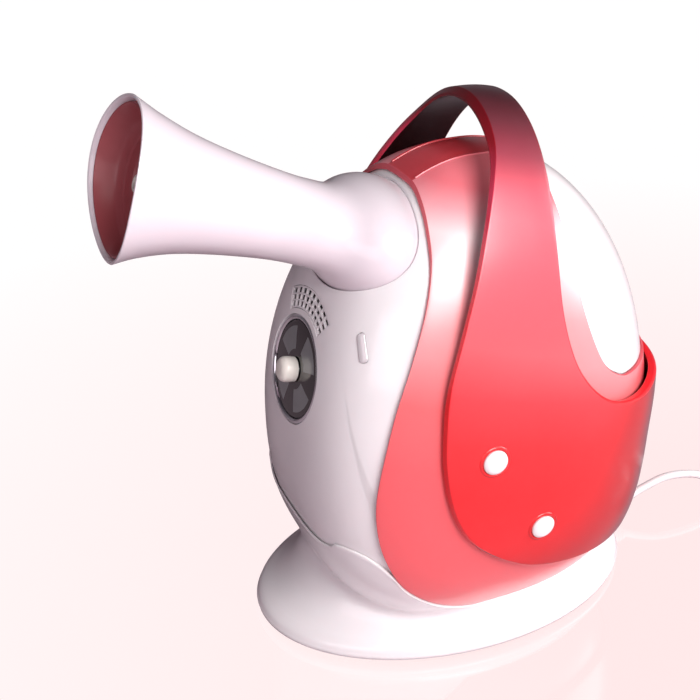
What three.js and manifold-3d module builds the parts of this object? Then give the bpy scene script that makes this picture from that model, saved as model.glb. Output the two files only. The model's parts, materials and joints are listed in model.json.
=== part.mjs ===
// Facial steamer. Millimetres, +Z up, origin at the centre of the base's underside.
// The nozzle points to -Y, the water tank and the cord are at +Y.
import * as THREE from 'three';
import { mergeVertices } from 'three/addons/utils/BufferGeometryUtils.js';
import Module from 'manifold-3d';

const wasm = await Module();
wasm.setup();

// ---------------------------------------------------------------- driving dimensions
const GAP = 0.3; // clearance left between neighbouring pieces

// body: an upright egg made of two half super-ellipsoids on one oval equator
const BODY_Y = 4; // body axis, behind the base's centre
const BODY_HALF_WIDTH = 81;
const BODY_FRONT = 102; // half depth towards the nozzle
const BODY_BACK = 103; // half depth towards the tank
const FRONT_BLUNTNESS = 3.2; // plan exponents: 2 is an ellipse, more is blunter
const BACK_BLUNTNESS = 2.3;
const EQUATOR_Z = 116;
const BODY_TOP_HEIGHT = 148.6; // equator to crown
const BODY_LOW_HEIGHT = 113; // equator to the point where the egg would close
const TOP_POWER = 2.0;
// fullness below the equator: across the body, at its front and at its back
const LOW_SIDE_POWER = 2.8;
const LOW_FRONT_POWER = 2.5;
const LOW_BACK_POWER = 3.8;
const BODY_FLOOR_Z = 24; // the shells are cut flat here
const SHELL = 2.5;
const SADDLE_FLOOR_Z = 26.5; // lower edge of the saddle cover
const SADDLE_OUT = 2.6; // the saddle cover's outer face stands this far off the shell

// handle: a band cut from a taller egg round the same waist
const HANDLE_TOP_HEIGHT = 178.4;
const HANDLE_IN = 3.0;
const HANDLE_THICK = 4.4;
const LIP_FLARE = 1.2; // the pocket behind the tank opens outwards by this much

// nozzle
const PIVOT = new THREE.Vector3(0, -52.5, 225.5);
const BALL_R = 30.6;
const BALL_STRETCH = 1.42; // the pivot body is a barrel, longer along X than it is thick
const HORN_PITCH = 21.6; // degrees above level at rest
const MOUTH_AT = 132.3; // pivot to mouth along the horn
const MOUTH_R = 38.3;
const HORN_WALL = 2.2;
const MOUTH_BOW = 4.6; // the sides of the mouth stand this far ahead of its top and bottom
const MOUTH_TILT = 5.4; // degrees, the mouth's top leans this much ahead of its bottom

// base
const BASE_HALF_WIDTH = 76.5;
const BASE_HALF_LENGTH = 115;
const BASE_PLATE_Z = 3;
const BASE_FLOOR_TOP = 23.7;
const CORD_Y = 102.5; // the cord leaves through the back of the base
const CORD_Z = 14;

// control dial
const DIAL_Z = 158.5;
const DIAL_SINK = 1.5; // the dial sits this much into the shell
const DIAL_R = 25.5;
const KNOB_R = 6.5;
const KNOB_H = 9;
const SHAFT_R = 3;
const RUNNING = 0.05; // radial clearance of a turning shaft

// tank valve, below the tank
const VALVE_Y = 84;
const TANK_FLOOR_Z = 153;

// ---------------------------------------------------------------- colours
const WHITE = { color: 0xf6f1f2, roughness: 0.32, metalness: 0 };
const WARM_WHITE = { color: 0xe9e4dd, roughness: 0.4, metalness: 0 };
const SALMON = { color: 0xff7882, roughness: 0.25, metalness: 0, transparent: true, opacity: 0.9 };
const RED = { color: 0xf5404a, roughness: 0.28, metalness: 0, transparent: true, opacity: 0.9 };
const DUSKY = { color: 0x9c4a4f, roughness: 0.4, metalness: 0 };
const BLACK = { color: 0x0c0c0e, roughness: 0.12, metalness: 0 };
const CHROME = { color: 0xd9dadd, roughness: 0.12, metalness: 1 };
const STEEL = { color: 0xb4b6ba, roughness: 0.35, metalness: 1 };
const ALUMINIUM = { color: 0xc8cacd, roughness: 0.45, metalness: 1 };
const RUBBER = { color: 0x2b2b2d, roughness: 0.8, metalness: 0 };
const SILICONE = { color: 0xd8d4d0, roughness: 0.6, metalness: 0 };
const GREY = { color: 0x5b5d61, roughness: 0.55, metalness: 0 };
const BOARD = { color: 0x2f7a4a, roughness: 0.5, metalness: 0 };
const SMOKE = { color: 0xcfc9cb, roughness: 0.2, metalness: 0, transparent: true, opacity: 0.6 };

// ---------------------------------------------------------------- solids
function solid(geometry) {
  const g = geometry.clone();
  for (const name of Object.keys(g.attributes)) if (name !== 'position') g.deleteAttribute(name);
  const merged = mergeVertices(g, 1e-4);
  return new wasm.Manifold(
    new wasm.Mesh({
      numProp: 3,
      vertProperties: new Float32Array(merged.attributes.position.array),
      triVerts: new Uint32Array(merged.index.array),
    }),
  );
}

function toGeometry(manifold) {
  const mesh = manifold.getMesh();
  const g = new THREE.BufferGeometry();
  g.setAttribute('position', new THREE.BufferAttribute(new Float32Array(mesh.vertProperties), 3));
  g.setIndex(new THREE.BufferAttribute(new Uint32Array(mesh.triVerts), 1));
  g.computeVertexNormals();
  return g;
}

const root = new THREE.Group();
function add(name, shape, look) {
  const geometry = shape.isBufferGeometry ? shape : toGeometry(shape);
  const mesh = new THREE.Mesh(geometry, new THREE.MeshStandardMaterial(look));
  mesh.name = name;
  root.add(mesh);
}

function placed(geometry, position, rotation = [0, 0, 0]) {
  const g = geometry.clone();
  g.applyMatrix4(new THREE.Matrix4().makeRotationFromEuler(new THREE.Euler(...rotation)));
  g.translate(...position);
  return g;
}

// a profile of [radius, height] turned about Z
function turned(profile, segments = 32) {
  const points = profile.map(([r, z]) => new THREE.Vector2(r, z));
  const g = new THREE.LatheGeometry(points, segments);
  g.rotateX(Math.PI / 2);
  return g;
}
const disc = (r, z0, z1, segments = 28) => turned([[0, z0], [r, z0], [r, z1], [0, z1]], segments);
const ring = (r0, r1, z0, z1, segments = 32) =>
  turned([[r0, z0], [r1, z0], [r1, z1], [r0, z1], [r0, z0]], segments);

function box(x0, x1, y0, y1, z0, z1) {
  const g = new THREE.BoxGeometry(x1 - x0, y1 - y0, z1 - z0);
  g.translate((x0 + x1) / 2, (y0 + y1) / 2, (z0 + z1) / 2);
  return g;
}

// turns a piece modelled along +Z so that it points along a direction in the YZ plane, `pitch`
// degrees above -Y, and moves its origin to `at`
function aimed(geometry, at, pitch) {
  const g = geometry.clone();
  g.rotateX(THREE.MathUtils.degToRad(90 - pitch));
  g.translate(at.x, at.y, at.z);
  return g;
}

// a plate with the outline [y, z] in side view, as wide as the whole body
const HALF_SPAN = 130;
function sidePrism(outline, halfWidth = HALF_SPAN) {
  const shape = new THREE.Shape(outline.map(([y, z]) => new THREE.Vector2(y, z)));
  const g = new THREE.ExtrudeGeometry(shape, { depth: 2 * halfWidth, bevelEnabled: false });
  g.translate(0, 0, -halfWidth);
  g.applyMatrix4(new THREE.Matrix4().makeBasis(
    new THREE.Vector3(0, 1, 0), new THREE.Vector3(0, 0, 1), new THREE.Vector3(1, 0, 0)));
  return g;
}

function tube(path, r, steps, sides = 10) {
  const shape = new THREE.Shape();
  for (let i = 0; i < sides; i += 1) {
    const a = (2 * Math.PI * i) / sides;
    if (i === 0) shape.moveTo(r, 0);
    else shape.lineTo(r * Math.cos(a), r * Math.sin(a));
  }
  shape.closePath();
  return new THREE.ExtrudeGeometry(shape, { steps, extrudePath: path, bevelEnabled: false });
}

// ---------------------------------------------------------------- the egg
function eggWaist(z, topHeight, lowPower) {
  const high = z > EQUATOR_Z;
  const h = high ? topHeight : BODY_LOW_HEIGHT;
  const power = high ? TOP_POWER : lowPower;
  const t = Math.min(1, Math.abs(z - EQUATOR_Z) / h);
  return Math.pow(Math.max(0, 1 - Math.pow(t, power)), 1 / power);
}

// a point on the egg at plan angle phi (0 is the back, 90 degrees is +X), `off` outside the shell
function eggPoint(phi, z, off, topHeight) {
  const u = Math.sin(phi);
  const v = Math.cos(phi);
  const power = v < 0 ? FRONT_BLUNTNESS : BACK_BLUNTNESS;
  const reach = Math.pow(Math.pow(Math.abs(u), power) + Math.pow(Math.abs(v), power), -1 / power);
  const across = eggWaist(z, topHeight, LOW_SIDE_POWER) * reach;
  const along = eggWaist(z, topHeight, v < 0 ? LOW_FRONT_POWER : LOW_BACK_POWER) * reach;
  const deep = (v < 0 ? BODY_FRONT : BODY_BACK) + off;
  return [(BODY_HALF_WIDTH + off) * across * u, BODY_Y + deep * along * v, z];
}

// closed solid egg, flat at the bottom; `flare` may push single points further out
function eggSolid(off, { topHeight = BODY_TOP_HEIGHT, floor = BODY_FLOOR_Z, flare = null } = {}) {
  const around = 28;
  const highSteps = 7;
  const lowSteps = 4;
  const lowest = 14;
  const top = topHeight + off;
  const levels = [];
  for (let i = 0; i <= lowSteps; i += 1) levels.push(lowest + ((EQUATOR_Z - lowest) * i) / lowSteps);
  for (let i = 1; i < highSteps; i += 1) {
    levels.push(EQUATOR_Z + top * Math.sin((Math.PI / 2) * (i / highSteps)));
  }
  const positions = [];
  for (const z of levels) {
    for (let i = 0; i < around; i += 1) {
      const phi = (2 * Math.PI * i) / around;
      const extra = flare ? flare(phi, z) : 0;
      positions.push(...eggPoint(phi, z, off + extra, top));
    }
  }
  const bottom = positions.length / 3;
  positions.push(0, BODY_Y, lowest);
  const crown = bottom + 1;
  positions.push(0, BODY_Y, EQUATOR_Z + top);
  const index = [];
  const at = (level, i) => level * around + (i % around);
  for (let i = 0; i < around; i += 1) {
    index.push(bottom, at(0, i), at(0, i + 1));
    index.push(crown, at(levels.length - 1, i + 1), at(levels.length - 1, i));
    for (let l = 0; l < levels.length - 1; l += 1) {
      index.push(at(l, i), at(l + 1, i + 1), at(l, i + 1));
      index.push(at(l, i), at(l + 1, i), at(l + 1, i + 1));
    }
  }
  const g = new THREE.BufferGeometry();
  g.setAttribute('position', new THREE.BufferAttribute(new Float32Array(positions), 3));
  g.setIndex(index);
  return solid(g).subtract(solid(box(-300, 300, -300, 300, 0, floor)));
}

// ---------------------------------------------------------------- side-view lines [y, z]
const spline = (points, count) =>
  new THREE.SplineCurve(points.map(([y, z]) => new THREE.Vector2(y, z)))
    .getPoints(count).map((p) => [p.x, p.y]);

// front edge of the saddle cover, crown to base
const SADDLE_EDGE = spline([
  [-32, 290], [-33, 262], [-36.5, 250], [-39, 240], [-42, 227], [-48, 210], [-58, 186], [-68, 160],
  [-75, 130], [-77, 108], [-74.5, 87], [-68, 69], [-60, 56], [-46, 43], [-30, 33], [-10, 24], [14, 12],
], 13);
// front edge of the tank, crown to the pocket behind it
const TANK_EDGE = spline([
  [33, 290], [32.5, 255], [33, 225], [36, 196], [46, 169], [60, 156.5], [76, 153], [100, 153], [140, 153],
], 11);
// outline of the handle band
const HANDLE_FRONT = spline([
  [-1, 310], [-2, 292], [-5, 275], [-12, 259], [-20.5, 240], [-28.5, 220], [-37, 199], [-46, 172],
  [-48.5, 144], [-47, 124], [-42.5, 106], [-35, 91], [-24, 79], [-9, 67.5], [8, 58.5], [36, 51.5],
  [60, 48.5], [90, 48], [140, 48],
], 16);
const HANDLE_REAR = spline([
  [140, 143], [95, 142.5], [76, 142], [60, 144.5], [45, 151], [32, 163.5], [23, 180], [18, 204],
  [18.5, 235], [21, 262], [23, 284], [24, 310],
], 12);

// rim of the base cover: high round the front corners of the body, then down beside the saddle cover
const BASE_RIM = spline([
  [-140, 70], [-98, 71], [-91, 79], [-83, 79], [-74, 73], [-64, 62], [-53, 51.5], [-39, 43], [-24, 35.5],
  [-4, 29], [14, 26.5], [60, 26.5], [140, 26.5],
], 18);

const FAR = 200;
const shifted = (line, dy) => line.map(([y, z]) => [y + dy, z]);
const behind = (line) => solid(sidePrism([...line, [FAR, line.at(-1)[1]], [FAR, line[0][1]]]));
const ahead = (line) => solid(sidePrism([...line, [-FAR, line.at(-1)[1]], [-FAR, line[0][1]]]));

// ---------------------------------------------------------------- shells
const TONGUE = 5; // the front shell runs on under the saddle cover by this much
const outerEgg = eggSolid(0);
const innerEgg = eggSolid(-SHELL, { floor: BODY_FLOOR_Z - 5 });
const tankRoom = behind(TANK_EDGE);
const tankWall = behind(shifted(TANK_EDGE, -SHELL).map(([y, z]) => [y, Math.max(z - SHELL, 130)]));

const stretched = (geometry, sx) => {
  const g = geometry.clone();
  g.scale(sx, 1, 1);
  return g;
};
const socketBall = stretched(new THREE.SphereGeometry(BALL_R + 0.7, 24, 12), BALL_STRETCH);
const socket = solid(placed(socketBall, PIVOT.toArray()));
const dialPitch = 12.3;
const dialFaceY = BODY_Y - BODY_FRONT * eggWaist(DIAL_Z, BODY_TOP_HEIGHT, LOW_FRONT_POWER);
const dialCentre = new THREE.Vector3(0, dialFaceY + DIAL_SINK, DIAL_Z);
const dialHole = solid(aimed(disc(DIAL_R + 3.6, -14, 8, 28), dialCentre, dialPitch));

// ring-sector band above the dial that carries the vent slots
const VENT_R0 = 31.5;
const VENT_R1 = 43.5;
const VENT_HALF_ANGLE = 34;
function sector(r0, r1, halfAngle, z0, z1, steps = 8) {
  const outline = [];
  for (let i = 0; i <= steps; i += 1) {
    const a = THREE.MathUtils.degToRad(90 - halfAngle + (2 * halfAngle * i) / steps);
    outline.push([r1 * Math.cos(a), r1 * Math.sin(a)]);
  }
  for (let i = steps; i >= 0; i -= 1) {
    const a = THREE.MathUtils.degToRad(90 - halfAngle + (2 * halfAngle * i) / steps);
    outline.push([r0 * Math.cos(a), r0 * Math.sin(a)]);
  }
  const shape = new THREE.Shape(outline.map(([x, y]) => new THREE.Vector2(x, y)));
  const g = new THREE.ExtrudeGeometry(shape, { depth: z1 - z0, bevelEnabled: false });
  g.translate(0, 0, z0);
  return g;
}
// a sector drawn on the dial's face: x stays x, y runs up the face, depth runs outwards
const onDial = (geometry) => aimed(geometry, dialCentre, dialPitch);
const ventHole = solid(onDial(sector(VENT_R0, VENT_R1, VENT_HALF_ANGLE, -30, 20)));

// indicator window: a slim capsule on the +X front corner, its top leaning inwards
const WINDOW = { x: 47.6, z: 190, r: 1.6, half: 5.6, lean: 30 };
function capsule(r, half) {
  const shape = new THREE.Shape();
  shape.absarc(0, half, r, 0, Math.PI, false);
  shape.absarc(0, -half, r, Math.PI, 2 * Math.PI, false);
  const g = new THREE.ExtrudeGeometry(shape, { depth: 60, bevelEnabled: false, curveSegments: 5 });
  g.rotateX(Math.PI / 2); // depth runs to -Y
  g.rotateY(THREE.MathUtils.degToRad(-WINDOW.lean));
  g.translate(WINDOW.x, -50, WINDOW.z);
  return solid(g);
}

const frontRegion = ahead(shifted(SADDLE_EDGE, TONGUE));
const frontShell = outerEgg.subtract(innerEgg).intersect(frontRegion)
  .subtract(socket).subtract(dialHole).subtract(ventHole)
  .subtract(capsule(WINDOW.r + GAP, WINDOW.half));
add('front_shell', frontShell, WHITE);

const rearRegion = behind(shifted(SADDLE_EDGE, TONGUE + GAP));
const VALVE_HOLE_R = 13.2;
const valveWell = solid(placed(disc(VALVE_HOLE_R, 120, 170), [0, VALVE_Y, 0]));
const rearShell = outerEgg.subtract(tankRoom)
  .subtract(innerEgg.subtract(tankWall)).intersect(rearRegion)
  .subtract(valveWell);
add('rear_shell', rearShell, WHITE);

const saddleCover = eggSolid(SADDLE_OUT).subtract(eggSolid(GAP, { floor: BODY_FLOOR_Z - 5 }))
  .intersect(behind(SADDLE_EDGE)).subtract(tankRoom)
  .subtract(solid(box(-FAR, FAR, -FAR, FAR, 0, SADDLE_FLOOR_Z)));
add('saddle_cover', saddleCover, SALMON);

// ---------------------------------------------------------------- handle
const smooth = (a, b, t) => {
  const s = Math.min(1, Math.max(0, (t - a) / (b - a)));
  return s * s * (3 - 2 * s);
};
// the band leans away from the body behind the tank, to leave the pocket's mouth open
const lipFlare = (phi, z) =>
  LIP_FLARE * smooth(96, 146, z) * (1 - smooth(146, 200, z)) * smooth(-0.1, 0.75, Math.cos(phi));
const handleOut = eggSolid(HANDLE_IN + HANDLE_THICK, {
  topHeight: HANDLE_TOP_HEIGHT - HANDLE_IN - HANDLE_THICK, floor: 30, flare: lipFlare });
const handleIn = eggSolid(HANDLE_IN, {
  topHeight: HANDLE_TOP_HEIGHT - HANDLE_IN - HANDLE_THICK, floor: 20, flare: lipFlare });
const handleOutline = solid(sidePrism([...HANDLE_FRONT, ...HANDLE_REAR]));
// [y, z] of the two fixing pins on each side
const PINS = [[-22, 135], [9, 87.5]];
const PIN_R = 3.2;
const CAP_R = 6.6;
const pinHole = ([y, z], r) =>
  solid(placed(disc(r, -FAR, FAR, 20), [0, y, z], [0, Math.PI / 2, 0]));
let handle = handleOut.subtract(handleIn).intersect(handleOutline);
for (const pin of PINS) handle = handle.subtract(pinHole(pin, PIN_R + GAP));
add('handle_band', handle, RED);

// pin caps: a low dome outside the band and a shank that runs through it
const capTurn = turned([
  [0, -3.6], [PIN_R, -3.6], [PIN_R, 0.4], [CAP_R, 0.4], [CAP_R, 1.3], [CAP_R - 1.6, 2.6],
  [0, 3.4],
], 14);
const handleHalf = (y, z) => {
  const v = (y - BODY_Y) / ((y < BODY_Y ? BODY_FRONT : BODY_BACK) + HANDLE_IN + HANDLE_THICK);
  const power = y < BODY_Y ? FRONT_BLUNTNESS : BACK_BLUNTNESS;
  const k = eggWaist(z, HANDLE_TOP_HEIGHT, LOW_SIDE_POWER);
  const off = HANDLE_IN + HANDLE_THICK;
  return (BODY_HALF_WIDTH + off) * Math.pow(Math.pow(k, power) - Math.pow(Math.abs(v), power), 1 / power);
};
for (const [side, sign] of [['right', 1], ['left', -1]]) {
  PINS.forEach(([y, z], i) => {
    const cap = placed(capTurn, [sign * (handleHalf(y, z) + 0.1), y, z], [0, (sign * Math.PI) / 2, 0]);
    add(`handle_cap_${i ? 'lower' : 'upper'}_${side}`, solid(cap).subtract(handle), WHITE);
  });
}

// ---------------------------------------------------------------- base
// the flared cover: a bell profile stretched to an oval, hollowed from below, cupping the egg
const bell = [
  [115, 3], [115, 6], [112.5, 10.2], [104, 15.6], [96, 23], [90, 32], [85, 43.5], [81.5, 57],
];
const BELL_WALL = 4.4;
const COLLAR = 2.4; // wall of the rim that cups the body
const CUP_CLEARANCE = SADDLE_OUT + 0.4;
const bellInner = bell.slice(2).reverse().map(([r, z]) => [r - BELL_WALL, z - (z < 20 ? 3.2 : 0)]);
const belowFloor = bellInner.filter(([, z]) => z < BASE_FLOOR_TOP - 3.4);
const rAtFloor = (z) => {
  const i = bellInner.findIndex(([, zz]) => zz < z);
  const [r0, z0] = bellInner[i - 1];
  const [r1, z1] = bellInner[i];
  return r0 + ((r1 - r0) * (z - z0)) / (z1 - z0);
};
const floorUnder = BASE_FLOOR_TOP - 3;
const coverProfile = [
  ...bell, [0, bell.at(-1)[1]], [0, floorUnder], [rAtFloor(floorUnder), floorUnder], ...belowFloor, [110.6, 3],
];
coverProfile.push(coverProfile[0]);
const oval = (geometry) => stretched(geometry, BASE_HALF_WIDTH / BASE_HALF_LENGTH);
const SCREWS = [[-38, -52], [38, -52], [-38, 56], [38, 56]];
let cover = solid(oval(turned(coverProfile, 28)));
for (const [x, y] of SCREWS) cover = cover.add(solid(placed(disc(4.6, 6.4, floorUnder + 1, 8), [x, y, 0])));
const collar = eggSolid(CUP_CLEARANCE + COLLAR, { floor: floorUnder })
  .intersect(solid(sidePrism([...BASE_RIM, [140, 0], [-140, 0]])));
cover = cover.add(collar).subtract(eggSolid(CUP_CLEARANCE, { floor: BODY_FLOOR_Z - GAP }));
for (const [x, y] of SCREWS) cover = cover.subtract(solid(placed(disc(1.9, 0, 19, 6), [x, y, 0])));
const cordAt = [0, CORD_Y, CORD_Z];
const alongBack = [-Math.PI / 2, 0, 0];
cover = cover.subtract(solid(placed(disc(5.4, -30, 40, 20), cordAt, alongBack)));
add('base_cover', cover, WHITE);

let plate = solid(oval(disc(107.3, BASE_PLATE_Z, BASE_PLATE_Z + 3, 28)));
for (const [x, y] of SCREWS) {
  plate = plate.subtract(solid(placed(disc(1.9, 0, 10, 6), [x, y, 0])))
    .subtract(solid(placed(disc(4.1, 0, 5.2, 8), [x, y, 0])));
}
add('base_plate', plate, GREY);

const FEET = [[-46, -66], [46, -66], [-46, 70], [46, 70], [0, 0]];
const footTurn = turned([[0, 0], [7, 0], [8, 1], [8, BASE_PLATE_Z - 0.02], [0, BASE_PLATE_Z - 0.02]], 12);
FEET.forEach(([x, y], i) => add(`foot_${i + 1}`, solid(placed(footTurn, [x, y, 0])), RUBBER));
const screwTurn = turned([[0, 3.4], [3.4, 3.4], [3.4, 4.9], [1.6, 4.9], [1.6, 17], [0, 17]], 8);
SCREWS.forEach(([x, y], i) => add(`base_screw_${i + 1}`, solid(placed(screwTurn, [x, y, 0])), STEEL));

// ---------------------------------------------------------------- nozzle, modelled along +Z from the pivot
const hornOuter = [];
const BALL_BACK = -19; // the ball is cut open behind this plane
const ballSteps = 5;
const backAngle = Math.acos(BALL_BACK / BALL_R);
const neckAngle = 0.84; // where the ball runs into the neck
for (let i = 0; i <= ballSteps; i += 1) {
  const a = backAngle + ((neckAngle - backAngle) * i) / ballSteps;
  hornOuter.push([BALL_R * Math.sin(a), BALL_R * Math.cos(a)]);
}
const NECK = [[21.6, 27], [20.8, 36], [21.3, 50], [24, 76], [27.9, 100], [33.2, 119]];
hornOuter.push(...NECK, [MOUTH_R, MOUTH_AT - 1.6], [MOUTH_R - 0.6, MOUTH_AT]);
const hornInner = hornOuter.map(([r, z]) => [r - HORN_WALL, z]).reverse();
hornInner[hornInner.length - 1][0] = BALL_R * Math.sin(backAngle) - HORN_WALL;
const hornProfile = [...hornOuter, ...hornInner, hornOuter[0]];
// widens the pivot end into its barrel, and bows and tilts the mouth
function moulded(geometry) {
  const g = geometry.clone();
  const p = g.attributes.position;
  const tilt = Math.tan(THREE.MathUtils.degToRad(MOUTH_TILT));
  for (let i = 0; i < p.count; i += 1) {
    const [x, y, z] = [p.getX(i), p.getY(i), p.getZ(i)];
    const reach = Math.max(0, z / MOUTH_AT) ** 5;
    const bow = MOUTH_BOW * ((x / MOUTH_R) ** 2 - 0.5);
    const wide = 1 + (BALL_STRETCH - 1) * (1 - smooth(18, 58, z));
    p.setXYZ(i, x * wide, y, z + reach * (bow + tilt * y));
  }
  return g;
}
const nozzle = (geometry) => solid(aimed(geometry, PIVOT, HORN_PITCH));
const nozzleShell = (geometry) => nozzle(moulded(geometry));
add('nozzle_horn', nozzleShell(turned(hornProfile, 24)), WHITE);

// liner: a shallow cone inside the mouth with a step and a back disc
const linerR = (z) => {
  const rows = [...NECK, [MOUTH_R, MOUTH_AT - 1.6]];
  const i = rows.findIndex(([, zz]) => zz >= z);
  const [r0, z0] = rows[i - 1];
  const [r1, z1] = rows[i];
  return r0 + ((r1 - r0) * (z - z0)) / (z1 - z0) - HORN_WALL - GAP;
};
const LINER_BACK = 115;
const OUTLET_R = 5;
const linerProfile = [
  [OUTLET_R + GAP, LINER_BACK], [linerR(LINER_BACK), LINER_BACK], [linerR(119), 119],
  [linerR(129), 129], [linerR(129) - 1.6, 129], [linerR(121.5) - 1.9, 121.5], [19, LINER_BACK + 4],
  [18, LINER_BACK + 2.4], [OUTLET_R + GAP, LINER_BACK + 2.4],
];
linerProfile.push(linerProfile[0]);
add('nozzle_liner', nozzleShell(turned(linerProfile, 24)), DUSKY);

add('steam_outlet_tip', nozzle(turned([
  [2.2, 107], [OUTLET_R, 107], [OUTLET_R, 119], [3.6, 122.5], [2.2, 122.5], [2.2, 107],
], 20)), WARM_WHITE);
add('steam_tube', nozzle(turned([
  [5.4, 14], [7.2, 14], [7.2, 108], [5.4, 108], [5.4, 14],
], 20)), SILICONE);
const spider = nozzle(ring(7.5, 18.2, 40, 43, 16)).subtract(nozzle(ring(10, 16.4, 39, 44, 16))
  .subtract(nozzle(box(-30, 30, -2, 2, 38, 45))));
add('steam_tube_spider', spider, WHITE);

// ring behind the shell that holds the ball
const SOCKET_PITCH = 44;
const keeperTurn = stretched(disc(BALL_R + 5, -13, -5, 32), 1.33);
const keeper = solid(aimed(keeperTurn, PIVOT, SOCKET_PITCH)).subtract(socket)
  .intersect(eggSolid(-SHELL - GAP));
add('ball_keeper_ring', keeper, GREY);

// ---------------------------------------------------------------- control dial, knob and switch
add('dial_bezel', onDial(ring(DIAL_R + GAP, DIAL_R + 3.1, -6, -0.3, 28)), CHROME);
const panel = solid(onDial(disc(DIAL_R, -4.6, -1.1, 28)))
  .subtract(solid(onDial(disc(SHAFT_R + 0.6, -9, 3, 16))));
add('dial_panel', panel, BLACK);

const POSTS = [[-19, -19], [19, -19], [-19, 19], [19, 19]];
const FRAME_BACK = -21.4;
let frame = solid(onDial(disc(DIAL_R + 2.6, -9, -6.3, 20)))
  .subtract(solid(onDial(disc(14, -12, 0, 12))));
for (const [x, y] of POSTS) {
  frame = frame.add(solid(onDial(placed(disc(2.6, FRAME_BACK, -8, 6), [x, y, 0]))));
}
add('control_frame', frame, GREY);

const board = solid(onDial(box(-24, 24, -24, 24, FRAME_BACK - 1.9, FRAME_BACK - GAP)));
add('circuit_board', board, BOARD);
const switchBody = solid(onDial(box(-9, 9, -9, 9, FRAME_BACK, -9.5)))
  .subtract(solid(onDial(disc(SHAFT_R + RUNNING, -19, 0, 20))));
add('rotary_switch', switchBody, GREY);
add('knob_shaft', onDial(disc(SHAFT_R, -18.7, 4, 20)), STEEL);
const knob = solid(onDial(turned([
  [0, -0.6], [KNOB_R, -0.6], [KNOB_R + 0.2, 5.4], [KNOB_R - 0.6, 7.4], [KNOB_R - 2.4, 8.6],
  [0, KNOB_H],
], 20))).subtract(solid(onDial(disc(SHAFT_R + 0.02, -3, 4.3, 20))));
add('control_knob', knob, WARM_WHITE);

// vent grille: a curved plate in the shell with three rows of slots
let grille = eggSolid(-0.4).subtract(eggSolid(-SHELL + 0.4, { floor: BODY_FLOOR_Z - 5 })).intersect(
  solid(onDial(sector(VENT_R0 + GAP, VENT_R1 - GAP, VENT_HALF_ANGLE - 0.5, -30, 20))));
for (const r of [34.2, 37.5, 40.8]) {
  for (let a = -27.5; a <= 28; a += 11) {
    const slot = placed(box(-2.4, 2.4, r - 1.05, r + 1.05, -30, 20), [0, 0, 0],
      [0, 0, THREE.MathUtils.degToRad(a)]);
    grille = grille.subtract(solid(onDial(slot)));
  }
}
add('vent_grille', grille, WHITE);

const windowLens = capsule(WINDOW.r, WINDOW.half)
  .intersect(eggSolid(0.3).subtract(eggSolid(-SHELL, { floor: BODY_FLOOR_Z - 5 })));
add('indicator_window', windowLens, SMOKE);

// ---------------------------------------------------------------- steam works
const BOILER = { x: 0, y: -18, r: 31, base: 32 };
const boilerAt = [BOILER.x, BOILER.y, 0];
const tray = eggSolid(-SHELL - GAP).subtract(solid(box(-FAR, FAR, -FAR, FAR, 27, 400)));
add('chassis_tray', tray, GREY);
add('heater_plate', placed(disc(29, 27.3, 31.7, 24), boilerAt), ALUMINIUM);
add('boiler', placed(turned([
  [0, BOILER.base], [BOILER.r, BOILER.base], [BOILER.r, 88], [BOILER.r - 2, 88], [BOILER.r - 2, 34.5],
  [0, 34.5],
], 24), boilerAt), STEEL);
const SPOUT_R = 8.6;
add('boiler_lid', placed(turned([
  [6.6, 86], [28.6, 86], [28.6, 88.3], [BOILER.r, 88.3], [BOILER.r, 91], [SPOUT_R, 94],
  [SPOUT_R, 112], [6.6, 112], [6.6, 86],
], 24), boilerAt), ALUMINIUM);
add('thermostat', placed(disc(8, BOILER.r + GAP, BOILER.r + 7, 16), [BOILER.x, BOILER.y, 56],
  [0, Math.PI / 2, 0]), CHROME);

const pathOf = (points) => new THREE.CatmullRomCurve3(points.map((p) => new THREE.Vector3(...p)));
const hoseRun = [[0, -18, 113.4], [0, -17, 140], [0, -14, 175], [0, -22, 204], [0, -40, 219]];
const hoseBore = [[0, -18, 108], ...hoseRun, [0, -46, 222]];
add('steam_hose', solid(tube(pathOf(hoseRun), 7.4, 8, 9))
  .subtract(solid(tube(pathOf(hoseBore), 5.2, 9, 8))), SILICONE);

// ---------------------------------------------------------------- water tank and its valve
const tankOuter = eggSolid(1).intersect(behind(shifted(TANK_EDGE, 0.4).map(([y, z]) => [y, z + 0.3])));
const tankInner = eggSolid(-1.2).intersect(
  behind(shifted(TANK_EDGE, 2.8).map(([y, z]) => [y, Math.max(z + 2.2, TANK_FLOOR_Z + 2.6)])));
const valveAt = [0, VALVE_Y, 0];
const NECK_R = 9.5;
const tank = tankOuter.subtract(tankInner)
  .add(solid(placed(disc(NECK_R, 141, TANK_FLOOR_Z + 1.5, 24), valveAt)))
  .subtract(solid(placed(disc(7.5, 130, 165, 24), valveAt)));
add('water_tank', tank, WHITE);
add('tank_seal', placed(ring(NECK_R + GAP, 11, 150.3, 152.9, 24), valveAt), SILICONE);
add('valve_cap', placed(turned([
  [3, 138], [11, 138], [11, 150], [NECK_R + GAP, 150], [NECK_R + GAP, 140.4], [3, 140.4], [3, 138],
], 24), valveAt), WARM_WHITE);
add('spring_retainer', placed(ring(2.6, 7.2, 152, 153.6, 18), valveAt), WARM_WHITE);
const PLUNGER_LIFT = 3;
add('valve_plunger', placed(turned([
  [0, 134.2], [1.8, 134.2], [1.8, 140.4 + PLUNGER_LIFT], [5.6, 140.4 + PLUNGER_LIFT],
  [5.6, 142.4 + PLUNGER_LIFT], [1.6, 142.4 + PLUNGER_LIFT], [1.6, 148], [0, 148],
], 16), valveAt), SILICONE);
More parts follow.
